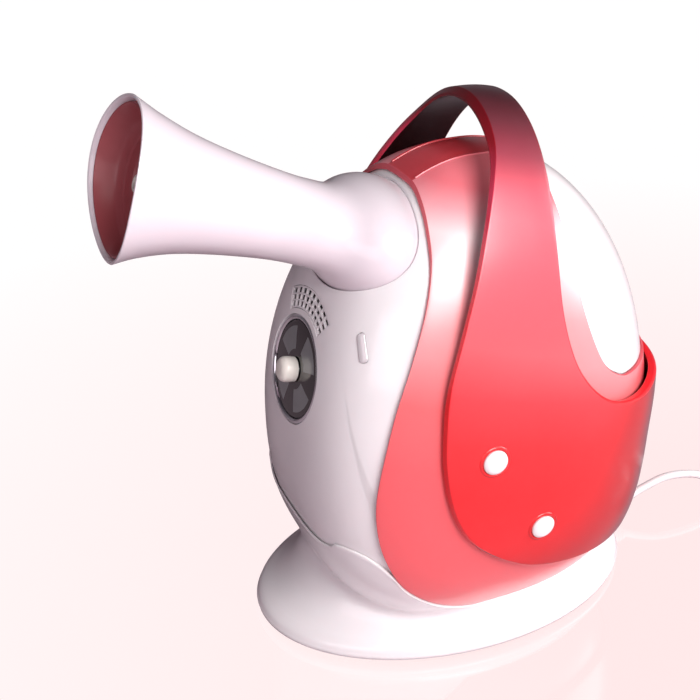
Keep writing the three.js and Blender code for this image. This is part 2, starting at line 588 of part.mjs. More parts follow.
class Helix extends THREE.Curve {
  constructor(r, z0, z1, turns) {
    super();
    Object.assign(this, { r, z0, z1, turns });
  }
  getPoint(t, target = new THREE.Vector3()) {
    const a = 2 * Math.PI * this.turns * t;
    return target.set(this.r * Math.cos(a), VALVE_Y + this.r * Math.sin(a),
      this.z0 + (this.z1 - this.z0) * t);
  }
}
add('valve_spring', tube(new Helix(3.9, 146.2, 151.2, 3), 0.45, 27, 4), STEEL);
add('valve_cup', placed(turned([
  [0, 127], [12.9, 127], [12.9, 150.2], [11.4, 150.2], [11.4, 129], [5.2, 129], [1.8, 129], [1.8, 133.9],
  [0, 133.9],
], 24), valveAt), WARM_WHITE);
const feedPath = pathOf([[0, 84, 126.6], [0, 82, 104], [0, 64, 66], [0, 38, 46], [0, 13.4, 44]]);
add('feed_hose', tube(feedPath, 4, 12, 10), SILICONE);
add('ioniser_module', box(12, 32, 28, 56, 27.3, 50), GREY);

// ---------------------------------------------------------------- cord
add('cord_bush', placed(turned([
  [3.2, -12], [6.4, -12], [6.4, -10.6], [5.1, -10.6], [5.1, 13], [6, 13.6], [6, 16], [4.4, 30],
  [3.2, 30], [3.2, -12],
], 14), cordAt, alongBack), WHITE);
const cordPath = pathOf([
  [0, 84, 14], [0, 102, 14], [0, 118, 14], [0, 133, 14], [0.5, 144, 18.5], [2, 162, 23.6],
  [5.5, 183, 21.5], [12, 202, 12], [23, 217, 5.2], [40, 226, 4], [57, 224.5, 4.2], [66.5, 216, 7.6],
  [69, 206, 10.2],
]);
add('power_cord', tube(cordPath, 2.5, 36, 7), WHITE);
const plugTurn = turned([
  [0, 0], [4, 0], [4.6, 12], [9, 18], [10, 34], [0, 34],
], 16);
plugTurn.scale(1.25, 1, 1);
const plugAt = new THREE.Vector3(69, 205, 10.6);
const plug = solid(placed(plugTurn, [plugAt.x, plugAt.y, plugAt.z], [Math.PI / 2, 0, 0]));
add('plug_body', plug, WHITE);
for (const [side, dx] of [['left', -5], ['right', 5]]) {
  add(`plug_pin_${side}`, placed(disc(2, 0, 18, 12),
    [plugAt.x + dx, plugAt.y - 34.3, plugAt.z], [Math.PI / 2, 0, 0]), CHROME);
}

export default root;
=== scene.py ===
import json
import math

import bmesh
import bpy
import numpy as np
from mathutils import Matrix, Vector


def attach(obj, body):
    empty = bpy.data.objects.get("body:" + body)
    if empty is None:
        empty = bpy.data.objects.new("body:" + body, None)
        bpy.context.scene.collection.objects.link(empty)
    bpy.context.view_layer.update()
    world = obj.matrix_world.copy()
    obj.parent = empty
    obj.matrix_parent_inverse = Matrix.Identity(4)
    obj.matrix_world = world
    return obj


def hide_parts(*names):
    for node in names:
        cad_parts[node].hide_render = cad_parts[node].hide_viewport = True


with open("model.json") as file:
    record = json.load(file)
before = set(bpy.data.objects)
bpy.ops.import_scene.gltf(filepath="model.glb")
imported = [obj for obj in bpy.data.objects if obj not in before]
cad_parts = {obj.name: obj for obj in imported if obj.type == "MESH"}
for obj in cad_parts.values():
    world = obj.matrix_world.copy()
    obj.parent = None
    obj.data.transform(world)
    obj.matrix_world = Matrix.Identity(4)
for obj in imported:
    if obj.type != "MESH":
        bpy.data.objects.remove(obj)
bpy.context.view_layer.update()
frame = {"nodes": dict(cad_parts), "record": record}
NODES = frame["nodes"]

# ------------------------------------------------------------------ body geometry, millimetres
MM = 0.001
BODY_Y, HALF_W, FRONT, BACK = 4.0, 81.0, 102.0, 103.0
EQ_Z, TOP_H, LOW_H = 116.0, 148.6, 113.0
FRONT_POW, BACK_POW, TOP_POW = 3.2, 2.3, 2.0
LOW_SIDE, LOW_FRONT, LOW_BACK = 2.8, 2.5, 3.8  # fullness below the equator
SHELL, SADDLE_IN, SADDLE_OUT = 2.5, 0.35, 2.6
HANDLE_TOP, HANDLE_IN, HANDLE_OUT = 171.0, 3.1, 7.4
LIP_FLARE = 1.2
CORE = np.array([0.0, BODY_Y, 130.0])

PIVOT = np.array([0.0, -52.5, 225.5])
BALL_R, BALL_STRETCH, HORN_PITCH = 30.6, 1.42, 21.6
MOUTH_AT, MOUTH_R, HORN_WALL, MOUTH_BOW, MOUTH_TILT = 132.3, 38.3, 2.2, 4.6, 5.4
DIAL_Z, DIAL_R, DIAL_PITCH, DIAL_SINK = 158.5, 25.5, 12.3, 1.5

SADDLE_EDGE = [(-32, 290), (-33, 262), (-36.5, 250), (-39, 240), (-42, 227), (-48, 210), (-58, 186),
               (-68, 160), (-75, 130), (-77, 108), (-74.5, 87), (-68, 69), (-60, 56), (-46, 43),
               (-30, 33), (-10, 24), (14, 12)]
TANK_EDGE = [(33, 290), (32.5, 255), (33, 225), (36, 196), (46, 169), (60, 156.5), (76, 153),
             (100, 153), (140, 153)]
HANDLE_FRONT = [(-1, 310), (-2, 292), (-5, 275), (-12, 259), (-20.5, 240), (-28.5, 220), (-37, 199),
                (-46, 172), (-48.5, 144), (-47, 124), (-42.5, 106), (-35, 91), (-24, 79), (-9, 67.5),
                (8, 58.5), (36, 51.5), (60, 48.5), (90, 48), (140, 48)]
HANDLE_REAR = [(24, 310), (23, 284), (21, 262), (18.5, 235), (18, 204), (23, 180), (32, 163.5),
               (45, 151), (60, 144.5), (76, 142), (95, 142.5), (140, 143)]


def smooth(a, b, t):
    """0 below a, 1 above b, with an even S-curve between them"""
    s = np.clip((t - a) / (b - a), 0, 1)
    return s * s * (3 - 2 * s)


def waist(z, top, low):
    """how full the egg is at height z, 1 at its widest: `top` is its height above the equator"""
    high = z > EQ_Z
    h = np.where(high, top, LOW_H)
    p = np.where(high, TOP_POW, low)
    t = np.clip(np.abs(z - EQ_Z) / h, 0, 1)
    return np.maximum(1 - t ** p, 0) ** (1 / p)


def girth(y, z, off, top=TOP_H):
    """half width and half depth of the egg at height z, and the plan exponent on this side"""
    ahead = y < BODY_Y
    k = waist(z, top + off, np.where(ahead, LOW_FRONT, LOW_BACK))
    wide = (HALF_W + off) * waist(z, top + off, LOW_SIDE)
    deep = (np.where(ahead, FRONT, BACK) + off) * k
    return np.maximum(wide, 1e-6), np.maximum(deep, 1e-6), np.where(ahead, FRONT_POW, BACK_POW)


def lip_flare(pts):
    """how far the handle's rear part stands further off the body, over the tank's edge"""
    u, v = pts[..., 0] / HALF_W, (pts[..., 1] - BODY_Y) / BACK
    c = v / np.maximum(np.hypot(u, v), 1e-6)
    z = pts[..., 2]
    return LIP_FLARE * smooth(96, 146, z) * (1 - smooth(146, 200, z)) * smooth(-0.1, 0.75, c)


def egg_field(pts, off, top=TOP_H, flare=False):
    """below 0 inside the egg surface that stands `off` outside the shell"""
    off = off + (lip_flare(pts) if flare else 0)
    wide, deep, m = girth(pts[..., 1], pts[..., 2], off, top)
    return (np.abs(pts[..., 0]) / wide) ** m + (np.abs(pts[..., 1] - BODY_Y) / deep) ** m - 1


def bisect(lo, hi, short, steps=34):
    """narrows lo and hi, one pair per point, to the place where `short` stops being true"""
    for _ in range(steps):
        mid = (lo + hi) / 2
        more = short(mid)
        lo, hi = np.where(more, mid, lo), np.where(more, hi, mid)
    return lo


def to_egg(pts, off, top=TOP_H, flare=False):
    """moves points along rays from the body's core on to the egg surface"""
    d = pts - CORE
    d /= np.linalg.norm(d, axis=-1, keepdims=True)
    reach = bisect(np.zeros(d.shape[:-1]), np.full(d.shape[:-1], 260.0),
                   lambda r: egg_field(CORE + d * r[..., None], off, top, flare) < 0)
    return CORE + d * reach[..., None]


def spline(ctrl, per=160):
    """uniform Catmull-Rom line through the points"""
    c = np.array(ctrl, float)
    c = np.vstack([2 * c[0] - c[1], c, 2 * c[-1] - c[-2]])
    t = np.linspace(0, 1, per, endpoint=False)[:, None]
    out = []
    for i in range(1, len(c) - 2):
        p0, p1, p2, p3 = c[i - 1], c[i], c[i + 1], c[i + 2]
        out.append(0.5 * (2 * p1 + (p2 - p0) * t + (2 * p0 - 5 * p1 + 4 * p2 - p3) * t ** 2
                          + (3 * p1 - p0 - 3 * p2 + p3) * t ** 3))
    return np.vstack(out + [c[-2:-1]])


def on_side(yz, off, top=TOP_H):
    """the stretch of a side-view line that lies on the egg, as 3-D points on the +X side"""
    wide, deep, m = girth(yz[:, 0], yz[:, 1], off, top)
    g = 1 - (np.abs(yz[:, 0] - BODY_Y) / deep) ** m
    pts = np.column_stack([wide * np.maximum(g, 0) ** (1 / m), yz[:, 0], yz[:, 1]])
    keep = np.nonzero(g > 0)[0]
    line = pts[keep[0]:keep[-1] + 1].copy()
    line[0, 0] = 0
    return line


def resample(line, n):
    """n points evenly spaced along a line"""
    seg = np.linalg.norm(np.diff(line, axis=0), axis=1)
    s = np.concatenate([[0], np.cumsum(seg)])
    t = np.linspace(0, 1, n) * s[-1]
    return np.column_stack([np.interp(t, s, line[:, i]) for i in range(3)])


def floor_run(start, z, off, to_front):
    """points on the egg at height z from a start point round to the centre line"""
    phi = np.linspace(0, math.pi, 800)
    u, v = np.sin(phi), np.cos(phi)
    wide, deep, m = girth(BODY_Y + v, np.full_like(phi, z), off)
    reach = (np.abs(u) ** m + np.abs(v) ** m) ** (-1 / m)
    ring = np.column_stack([wide * reach * u, BODY_Y + deep * reach * v, np.full_like(phi, z)])
    near = np.argmin(np.linalg.norm(ring - start, axis=1))
    return ring[near + 1:] if to_front else ring[:near][::-1]


# ------------------------------------------------------------------ mesh helpers
def make_object(name, verts_mm, faces, mats=(), face_mats=None, sharp=40):
    mesh = bpy.data.meshes.new(name)
    mesh.from_pydata((np.asarray(verts_mm) * MM).tolist(), [], faces)
    for m in mats:
        mesh.materials.append(m)
    if face_mats is not None:
        mesh.polygons.foreach_set("material_index", np.asarray(face_mats, np.int32))
    mesh.polygons.foreach_set("use_smooth", [True] * len(mesh.polygons))
    mesh.validate()
    bm = bmesh.new()
    bm.from_mesh(mesh)
    bmesh.ops.remove_doubles(bm, verts=bm.verts, dist=1e-6)
    bmesh.ops.recalc_face_normals(bm, faces=bm.faces)
    bm.to_mesh(mesh)
    bm.free()
    if sharp:
        mesh.set_sharp_from_angle(angle=math.radians(sharp))
    obj = bpy.data.objects.new(name, mesh)
    bpy.context.scene.collection.objects.link(obj)
    return obj


def loop_band(rings, kinds, mats, name):
    """a closed body from rings[i][j]: i runs round the loop, j round the closed section"""
    n, m = rings.shape[:2]
    idx = np.arange(n * m).reshape(n, m)
    a, b = idx, np.roll(idx, -1, axis=0)
    quads = np.stack([a, b, np.roll(b, -1, axis=1), np.roll(a, -1, axis=1)], -1)
    face_mats = np.tile(np.minimum(kinds, len(mats) - 1), n)
    return make_object(name, rings.reshape(-1, 3), quads.reshape(-1, 4).tolist(), mats, face_mats)


def mirror_loop(half):
    """+X half of a loop, both ends on the centre line, made into the whole loop"""
    other = half[-2:0:-1] * np.array([-1, 1, 1])
    return np.vstack([half, other])


def section(w, off_in, off_out, n, front, back):
    """distance across and offset round a strip's section; `front` and `back` are chamfer widths"""
    thick = off_out - off_in
    down = [off_out - min(0.85 * c, 0.75 * thick) for c in (front, back)]
    corners = [(w / 2, off_out), (w - back, off_out), (w, down[1]), (w, off_in), (0, off_in),
               (0, down[0]), (front, off_out), (w / 2, off_out)]
    round_by = min(0.45, 0.3 * front, 0.3 * back)
    line = np.array(fillet(corners, round_by, 4))
    spans = {0: n // 2, 12: n, 24: n // 2}
    out, kind = [], []
    for k in range(len(line) - 1):
        steps = spans.get(k, 1)
        for t in np.linspace(0, 1, steps, endpoint=False):
            out.append(line[k] * (1 - t) + line[k + 1] * t)
            kind.append({0: 0, 24: 0, 12: 2}.get(k, 1))
    return np.array(out), kind


def egg_strip(outer, inner, off_in, off_out, n, front, back, top=TOP_H, flare=False):
    """rings of a chamfered strip on the egg between two loops; kinds: 0 face, 1 edge, 2 back"""
    rings = []
    for p0, p1 in zip(outer, inner):
        w = np.linalg.norm(p1 - p0)
        sec, kind = section(w, off_in, off_out, n, min(front, w / 4), min(back, w / 4))
        pts = p0 + (p1 - p0) * (sec[:, :1] / w)
        rings.append(to_egg(pts, sec[:, 1], top, flare))
    return np.array(rings), kind


def lathe(profile, segments):
    """vertices and faces of a profile [(r, z)] turned about Z; ends on the axis become poles"""
    prof = np.array(profile, float)
    ang = np.linspace(0, 2 * math.pi, segments, endpoint=False)
    verts, rows = [], []
    for r, z in prof:
        if r < 1e-6:
            rows.append([len(verts)])
            verts.append((0, 0, z))
        else:
            rows.append(list(range(len(verts), len(verts) + segments)))
            verts.extend((r * math.cos(a), r * math.sin(a), z) for a in ang)
    faces = []
    pairs = list(zip(range(len(rows) - 1), range(1, len(rows))))
    if not (len(rows[0]) == 1 and len(rows[-1]) == 1):
        pairs.append((len(rows) - 1, 0))
    for i, j in pairs:
        a, b = rows[i], rows[j]
        for k in range(segments):
            k2 = (k + 1) % segments
            if len(a) == 1 and len(b) == 1:
                break
            if len(a) == 1:
                faces.append((a[0], b[k], b[k2]))
            elif len(b) == 1:
                faces.append((a[k], b[0], a[k2]))
            else:
                faces.append((a[k], b[k], b[k2], a[k2]))
    return np.array(verts, float), faces


def sweep(path, radius, around=24):
    """vertices and faces of a round rod along a path, closed at both ends"""
    n = len(path)
    tangent = np.gradient(path, axis=0)
    tangent /= np.linalg.norm(tangent, axis=1, keepdims=True)
    normal = np.cross(tangent[0], [0, 0, 1.0])
    normal /= np.linalg.norm(normal)
    rings = []
    for i in range(n):
        normal = normal - tangent[i] * normal.dot(tangent[i])
        normal /= np.linalg.norm(normal)
        b = np.cross(tangent[i], normal)
        a = np.linspace(0, 2 * math.pi, around, endpoint=False)
        rings.append(path[i] + radius * (np.cos(a)[:, None] * normal + np.sin(a)[:, None] * b))
    verts = np.vstack(rings + [path[:1], path[-1:]])
    faces = []
    for i in range(n - 1):
        for k in range(around):
            k2 = (k + 1) % around
            faces.append((i * around + k, i * around + k2, (i + 1) * around + k2, (i + 1) * around + k))
    first, last = n * around, n * around + 1
    for k in range(around):
        k2 = (k + 1) % around
        faces.append((first, k2, k))
        faces.append((last, (n - 1) * around + k, (n - 1) * around + k2))
    return verts, faces


def fillet(points, radius, steps=5):
    """rounds the corners of an open profile; radius may be one number or one per corner"""
    pts = [np.array(p, float) for p in points]
    out = [pts[0]]
    for i in range(1, len(pts) - 1):
        r = radius[i] if isinstance(radius, (list, tuple)) else radius
        a, b, c = pts[i - 1], pts[i], pts[i + 1]
        la, lc = np.linalg.norm(a - b), np.linalg.norm(c - b)
        cut = min(r, la * 0.49, lc * 0.49)
        if cut < 1e-3:
            out.append(b)
            continue
        p, q = b + (a - b) / la * cut, b + (c - b) / lc * cut
        for t in np.linspace(0, 1, steps):
            out.append((1 - t) ** 2 * p + 2 * t * (1 - t) * b + t ** 2 * q)
    out.append(pts[-1])
    return [tuple(p) for p in out]


def aimed(verts, at, pitch):
    """turns a piece modelled along +Z to point forwards and up by `pitch`, at a point"""
    b = math.radians(90 - pitch)
    x, y, z = verts[:, 0], verts[:, 1], verts[:, 2]
    return np.column_stack([x, y * math.cos(b) - z * math.sin(b),
                            y * math.sin(b) + z * math.cos(b)]) + at


def turned_about(verts, at, axis):
    """puts a piece modelled along +Z on a point, pointing along an axis"""
    q = Vector((0, 0, 1)).rotation_difference(Vector(axis)).to_matrix()
    return verts @ np.array(q).T + np.array(at)


def boolean(obj, cutters):
    """cuts the cutters out of an object for good and removes them"""
    for c in cutters:
        mod = obj.modifiers.new("cut", "BOOLEAN")
        mod.operation, mod.solver, mod.object = "DIFFERENCE", "EXACT", c
    bpy.context.view_layer.update()
    dg = bpy.context.evaluated_depsgraph_get()
    mesh = bpy.data.meshes.new_from_object(obj.evaluated_get(dg))
    obj.modifiers.clear()
    old, obj.data = obj.data, mesh
    bpy.data.meshes.remove(old)
    for c in cutters:
        bpy.data.objects.remove(c)
    bm = bmesh.new()
    bm.from_mesh(obj.data)
    bmesh.ops.dissolve_degenerate(bm, dist=2e-6, edges=bm.edges)
    bmesh.ops.triangulate(bm, faces=[f for f in bm.faces if len(f.verts) > 4])
    bm.to_mesh(obj.data)
    bm.free()
    obj.data.set_sharp_from_angle(angle=math.radians(32))
    return obj


def piece(obj, body, slot, *nodes):
    """attaches a visible piece to the body it rides on and hides the CAD nodes it replaces; `slot` is
    not used
    """
    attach(obj, body)
    if nodes:
        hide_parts(*nodes)
    return obj


# ------------------------------------------------------------------ materials
def srgb(h):
    """linear colour of a hexadecimal sRGB one"""
    c = [int(h[i:i + 2], 16) / 255 for i in (0, 2, 4)]
    return [v / 12.92 if v <= 0.04045 else ((v + 0.055) / 1.055) ** 2.4 for v in c]


class Nodes:
    """a material and short ways of adding nodes to it"""

    def __init__(self, name):
        self.mat = bpy.data.materials.new(name)
        self.mat.use_nodes = True
        self.t = self.mat.node_tree
        self.t.nodes.clear()
        self.out = self.t.nodes.new("ShaderNodeOutputMaterial")

    def new(self, kind, **values):
        n = self.t.nodes.new("ShaderNode" + kind)
        for k, v in values.items():
            if k in n.inputs:
                n.inputs[k].default_value = v
            else:
                setattr(n, k, v)
        return n

    def link(self, a, b):
        self.t.links.new(a, b)

    def math(self, op, a, b=0.0):
        n = self.t.nodes.new("ShaderNodeMath")
        n.operation = op
        for i, v in enumerate((a, b)):
            if isinstance(v, (int, float)):
                n.inputs[i].default_value = v
            else:
                self.link(v, n.inputs[i])
        return n.outputs[0]

    def mix(self, fac, a, b):
        n = self.t.nodes.new("ShaderNodeMix")
        n.data_type = "RGBA"
        for sock, v in ((n.inputs[0], fac), (n.inputs[6], a), (n.inputs[7], b)):
            if isinstance(v, (int, float)):
                sock.default_value = v
            elif isinstance(v, (list, tuple)):
                sock.default_value = (*v[:3], 1)
            else:
                self.link(v, sock)
        return n.outputs[2]

    def ramp(self, fac, stops):
        n = self.t.nodes.new("ShaderNodeValToRGB")
        e = n.color_ramp.elements
        while len(e) < len(stops):
            e.new(0.5)
        for el, (pos, col) in zip(e, stops):
            el.position = pos
            el.color = (*col[:3], 1) if isinstance(col, (list, tuple)) else (col, col, col, 1)
        self.link(fac, n.inputs[0])
        return n.outputs[0]


def plastic(name, colour, rough=0.3, coat=0.3, grain=0.02, grain_scale=900, tint=0.03,
            metallic=0.0, sss=0.0):
    """moulded plastic or metal: slight colour drift, fine surface grain, uneven gloss"""
    n = Nodes(name)
    co = n.new("TexCoord").outputs["Object"]
    drift = n.new("TexNoise", Scale=9.0, Detail=2.0)
    n.link(co, drift.inputs["Vector"])
    fine = n.new("TexNoise", Scale=float(grain_scale), Detail=2.0)
    n.link(co, fine.inputs["Vector"])
    b = n.new("BsdfPrincipled")
    c = srgb(colour)
    dark = [v * (1 - tint) for v in c]
    n.link(n.mix(drift.outputs[0], c, dark), b.inputs["Base Color"])
    n.link(n.math("ADD", n.math("MULTIPLY", drift.outputs[0], 0.06), rough - 0.03),
           b.inputs["Roughness"])
    b.inputs["Metallic"].default_value = metallic
    b.inputs["Coat Weight"].default_value = coat
    b.inputs["Coat Roughness"].default_value = 0.08
    if sss:
        b.inputs["Subsurface Weight"].default_value = sss
        b.inputs["Subsurface Radius"].default_value = (0.004, 0.003, 0.003)
        b.inputs["Subsurface Scale"].default_value = 0.6
    bump = n.new("Bump", Strength=grain, Distance=0.0002)
    n.link(fine.outputs[0], bump.inputs["Height"])
    n.link(bump.outputs[0], b.inputs["Normal"])
    n.link(b.outputs[0], n.out.inputs[0])
    return n.mat


def tinted_shell(name, stops, rim, strip=None, coat=0.5, coat_rough=0.2, rough=0.32, rim_below=1.0):
    """coloured see-through plastic over white: the height ramp paints highlight, sheen and shade bands,
    `strip` paints shade along the crown, and it is deeper where seen edge-on
    """
    n = Nodes(name)
    co = n.new("TexCoord").outputs["Object"]
    drift = n.new("TexNoise", Scale=14.0, Detail=3.0)
    n.link(co, drift.inputs["Vector"])
    fine = n.new("TexNoise", Scale=1400.0, Detail=1.0)
    n.link(co, fine.inputs["Vector"])
    sep = n.new("SeparateXYZ")
    n.link(co, sep.inputs[0])
    height = n.math("ADD", sep.outputs["Z"], n.math("MULTIPLY", sep.outputs["Y"], 0.25))
    height = n.math("ADD", height, n.math("MULTIPLY", drift.outputs[0], 0.006))
    # painted light: the ramp by height holds painted highlight, sheen and shade bands
    col = n.ramp(n.math("MULTIPLY", height, 1 / 0.3), [(z / 0.3, srgb(c)) for z, c in stops])
    # painted shade: a darker band along the crown, where |x| is below strip[0] and z is above 0.2 m
    if strip:
        middle = n.math("LESS_THAN", n.math("ABSOLUTE", sep.outputs["X"]), strip[0])
        crown = n.math("GREATER_THAN", sep.outputs["Z"], 0.2)
        col = n.mix(n.math("MULTIPLY", middle, crown), col, srgb(strip[1]))
    facing = n.new("LayerWeight", Blend=0.5).outputs["Facing"]
    for start, full, shade in rim:
        span = n.new("MapRange", interpolation_type="SMOOTHSTEP")
        n.link(facing, span.inputs["Value"])
        span.inputs["From Min"].default_value = start
        span.inputs["From Max"].default_value = full
        # edge-on colours stop above rim_below, so the painted shade on the top stays dark
        shown = n.math("MULTIPLY", span.outputs[0], n.math("LESS_THAN", height, rim_below))
        col = n.mix(shown, col, srgb(shade))
    b = n.new("BsdfPrincipled", Roughness=rough)
    n.link(col, b.inputs["Base Color"])
    b.inputs["Coat Weight"].default_value = coat
    b.inputs["Coat Roughness"].default_value = coat_rough
    b.inputs["Subsurface Weight"].default_value = 0.15
    b.inputs["Subsurface Radius"].default_value = (0.010, 0.003, 0.003)
    b.inputs["Subsurface Scale"].default_value = 0.4
    bump = n.new("Bump", Strength=0.03, Distance=0.0002)
    n.link(fine.outputs[0], bump.inputs["Height"])
    n.link(bump.outputs[0], b.inputs["Normal"])
    n.link(b.outputs[0], n.out.inputs[0])
    return n.mat


WHITE = plastic("white_gloss_plastic", "f7f1f3", 0.24, 0.5, 0.012, sss=0.15)
# the nozzle's copy of the white plastic, darker and lavender: painted shade with a lavender tint
HORN = plastic("horn_gloss_plastic", "efe3ea", 0.26, 0.5, 0.012, sss=0.15)
WARM = plastic("warm_white_plastic", "ebe5dd", 0.34, 0.2, 0.02, sss=0.1)
# painted light by height: the pale band from 0.18 to 0.25 is a painted highlight, and the darker strip
# along the crown is painted shade
SALMON = tinted_shell("salmon_shell_plastic",
                      [(0.0, "f8666a"), (0.06, "fa6268"), (0.12, "fa6066"), (0.155, "fb6c70"),
                       (0.18, "ff9498"), (0.205, "ff9ea2"), (0.222, "ffbec2"), (0.236, "ffdadc"),
                       (0.246, "ffacb4"), (0.256, "fb808a")],
                      [(0.6, 1.0, "d83c46")], (0.0135, "cf4049"), 0.9, 0.28)
SALMON_EDGE = tinted_shell("salmon_edge_plastic", [(0.0, "d8484c"), (0.3, "e05e6a")],
                           [(0.7, 1.0, "c03038")])
# painted light by height: the milky pink band from 0.19 to 0.26 is a painted sheen, and the near-black
# top from 0.27 up is painted shade
RED = tinted_shell("red_handle_plastic",
                   [(0.0, "e4242c"), (0.11, "e81c22"), (0.14, "f0262c"), (0.165, "f23a42"),
                    (0.19, "f76068"), (0.25, "f65c6c"), (0.262, "e04c60"), (0.277, "9c3c4c"),
                    (0.29, "6c303a"), (0.3, "40161c")],
                   [(0.35, 0.64, "c4060e"), (0.66, 0.95, "70202c")], coat_rough=0.24, rim_below=0.27)
# handle chamfer, painted by height: the pinker part near 0.26 is a painted sheen, and the near-black
# top above 0.28 is painted shade
RED_EDGE = tinted_shell("red_handle_edge", [(0.0, "e0222c"), (0.16, "e8141e"), (0.21, "f23444"),
                                            (0.26, "e04060"), (0.28, "901420"), (0.3, "580810")],
                        [(0.75, 1.0, "900c14")])
# handle's back face, against the body: painted shade, darkening to near-black towards the top
RED_BACK = tinted_shell("red_handle_back", [(0.0, "b01820"), (0.2, "7c0e14"), (0.245, "1e0304"),
                                            (0.3, "240406")], [(0.7, 1.0, "400608")], coat=0.2)
DUSKY = plastic("dusky_red_liner", "a84f54", 0.4, 0.15, 0.02, sss=0.1)
BLACK = plastic("black_gloss_panel", "0a0a0b", 0.08, 1.0, 0.004)
CHROME = plastic("chrome_trim", "e6e6ea", 0.1, 0.0, 0.006, metallic=1.0)
STEEL = plastic("brushed_steel", "b5b6ba", 0.35, 0.0, 0.06, metallic=1.0)
ALUMINIUM = plastic("satin_aluminium", "c6c8ca", 0.45, 0.0, 0.05, metallic=1.0)
RUBBER = plastic("rubber_foot", "2a2a2c", 0.8, 0.0, 0.2, 700)
SILICONE = plastic("silicone", "ddd8d3", 0.55, 0.0, 0.05, sss=0.3)
GREY = plastic("grey_moulding", "5d5f63", 0.55, 0.0, 0.12)
BOARD = plastic("circuit_board", "2c7447", 0.45, 0.2, 0.05, tint=0.2)
SMOKE = plastic("window_smoke", "d6ced2", 0.12, 0.8, 0.005, sss=0.3)

SLOT_LOOKS = {
    "white_gloss": WHITE, "warm_white": WARM, "salmon_shell": SALMON, "red_handle": RED,
    "dusky_red": DUSKY, "black_gloss": BLACK, "chrome_trim": CHROME, "steel": STEEL,
    "aluminium": ALUMINIUM, "rubber_foot": RUBBER, "silicone": SILICONE, "grey_plastic": GREY,
    "board_green": BOARD, "window_smoke": SMOKE,
}
for part in frame["record"]["subparts"]:
    mesh = NODES[part["node"]].data
    mesh.materials.clear()
    mesh.materials.append(SLOT_LOOKS[part["material_slot"]])

# ------------------------------------------------------------------ saddle cover and handle
N_LOOP = 170
N_WIDE = 44
SADDLE_FLOOR = 26.5


def cut_at_floor(line, z):
    return line[:np.argmax(line[:, 2] < z)] if (line[:, 2] < z).any() else line


def half_loop(ctrl, off, n, top=TOP_H, floor=None, shift=0.0, to_front=False):
    """+X half of a loop on the egg, drawn in side view by its control points (y, z)"""
    yz = spline(ctrl) + np.array([shift, 0.0])
    line = on_side(yz, off, top)
    if floor is not None:
        line = cut_at_floor(line, floor)
        line = np.vstack([line, floor_run(line[-1], floor, off, to_front)])
    else:
        line[-1, 0] = 0
    return resample(line, n)


saddle_out = mirror_loop(half_loop(SADDLE_EDGE, 1.4, N_LOOP, floor=SADDLE_FLOOR))
saddle_in = mirror_loop(half_loop(TANK_EDGE, 1.4, N_LOOP))
rings, kinds = egg_strip(saddle_out, saddle_in, SADDLE_IN, SADDLE_OUT, N_WIDE, 1.7, 0.8)
saddle = loop_band(rings, kinds, (SALMON, SALMON_EDGE), "saddle_cover_skin")
piece(saddle, "housing", "salmon_shell", "saddle_cover")


def crown_line(x, off):
    """a line on the egg from the saddle's front edge over the crown to the tank, at one x"""
    n = 60
    x, y = np.full(n, x), np.linspace(-31.5, 31.0, n)
    z = bisect(np.full(n, EQ_Z), np.full(n, EQ_Z + TOP_H + 12),
               lambda z: egg_field(np.column_stack([x, y, z]), off) < 0)
    return np.column_stack([x, y, z])


handle_out = mirror_loop(half_loop(HANDLE_FRONT, 5.2, N_LOOP, HANDLE_TOP))
handle_in = mirror_loop(half_loop(HANDLE_REAR, 5.2, N_LOOP, HANDLE_TOP))
rings, kinds = egg_strip(handle_out, handle_in, HANDLE_IN, HANDLE_OUT, N_WIDE, 3.3, 1.3, HANDLE_TOP,
                         flare=True)
handle = loop_band(rings, kinds, (RED, RED_EDGE, RED_BACK), "handle_band_skin")
piece(handle, "housing", "red_handle", "handle_band")

for side, sign in (("right", 1), ("left", -1)):
    v, f = sweep(crown_line(sign * 13.0, SADDLE_OUT - 0.1), 0.75, 12)
    rib = make_object(f"saddle_crown_rib_{side}", v, f, (SALMON,))
    piece(rib, "housing", "salmon_shell")

# ------------------------------------------------------------------ front shell
SOCKET_R, SOCKET_PITCH = BALL_R + 0.7, 44.0


def ball_opening(near):
    """where the barrel round the pivot meets the egg, in step with the half loop `near`"""
    p = math.radians(SOCKET_PITCH)
    axis = np.array([0, -math.cos(p), math.sin(p)])
    up = np.array([0, math.sin(p), math.cos(p)])
    side = np.array([1.0, 0, 0])
    barrel = np.array([BALL_STRETCH, 1.0, 1.0])
    round_it = np.arctan2((near - PIVOT) @ side / BALL_STRETCH, (near - PIVOT) @ up)
    beta = 0.75 * round_it + 0.25 * np.linspace(0, math.pi, len(near))
    radial = np.cos(beta)[:, None] * up + np.sin(beta)[:, None] * side

    def on_barrel(turn):
        turn = turn[:, None]
        return PIVOT + SOCKET_R * (np.cos(turn) * axis + np.sin(turn) * radial) * barrel

    turn = bisect(np.zeros(len(near)), np.full(len(near), math.pi),
                  lambda t: egg_field(on_barrel(t), 0.0) > 0, 36)
    pts = on_barrel(turn)
    pts[0, 0] = pts[-1, 0] = 0
    return pts


front_half = half_loop(SADDLE_EDGE, -1.0, N_LOOP, floor=25.0, shift=4.5, to_front=True)
front_out = mirror_loop(front_half)
front_in = mirror_loop(ball_opening(front_half))
rings, kinds = egg_strip(front_out, front_in, -SHELL, 0.0, 96, 0.6, 0.8)
front = loop_band(rings, kinds, (WHITE,), "front_shell_skin")

dial_y = BODY_Y - FRONT * float(waist(DIAL_Z, TOP_H, LOW_FRONT)) + DIAL_SINK
DIAL_AT = np.array([0, dial_y, DIAL_Z])
N_DIAL = np.array([0, -math.cos(math.radians(DIAL_PITCH)), math.sin(math.radians(DIAL_PITCH))])


def cutter(verts, faces):
    return make_object("cutter", verts, faces, sharp=0)


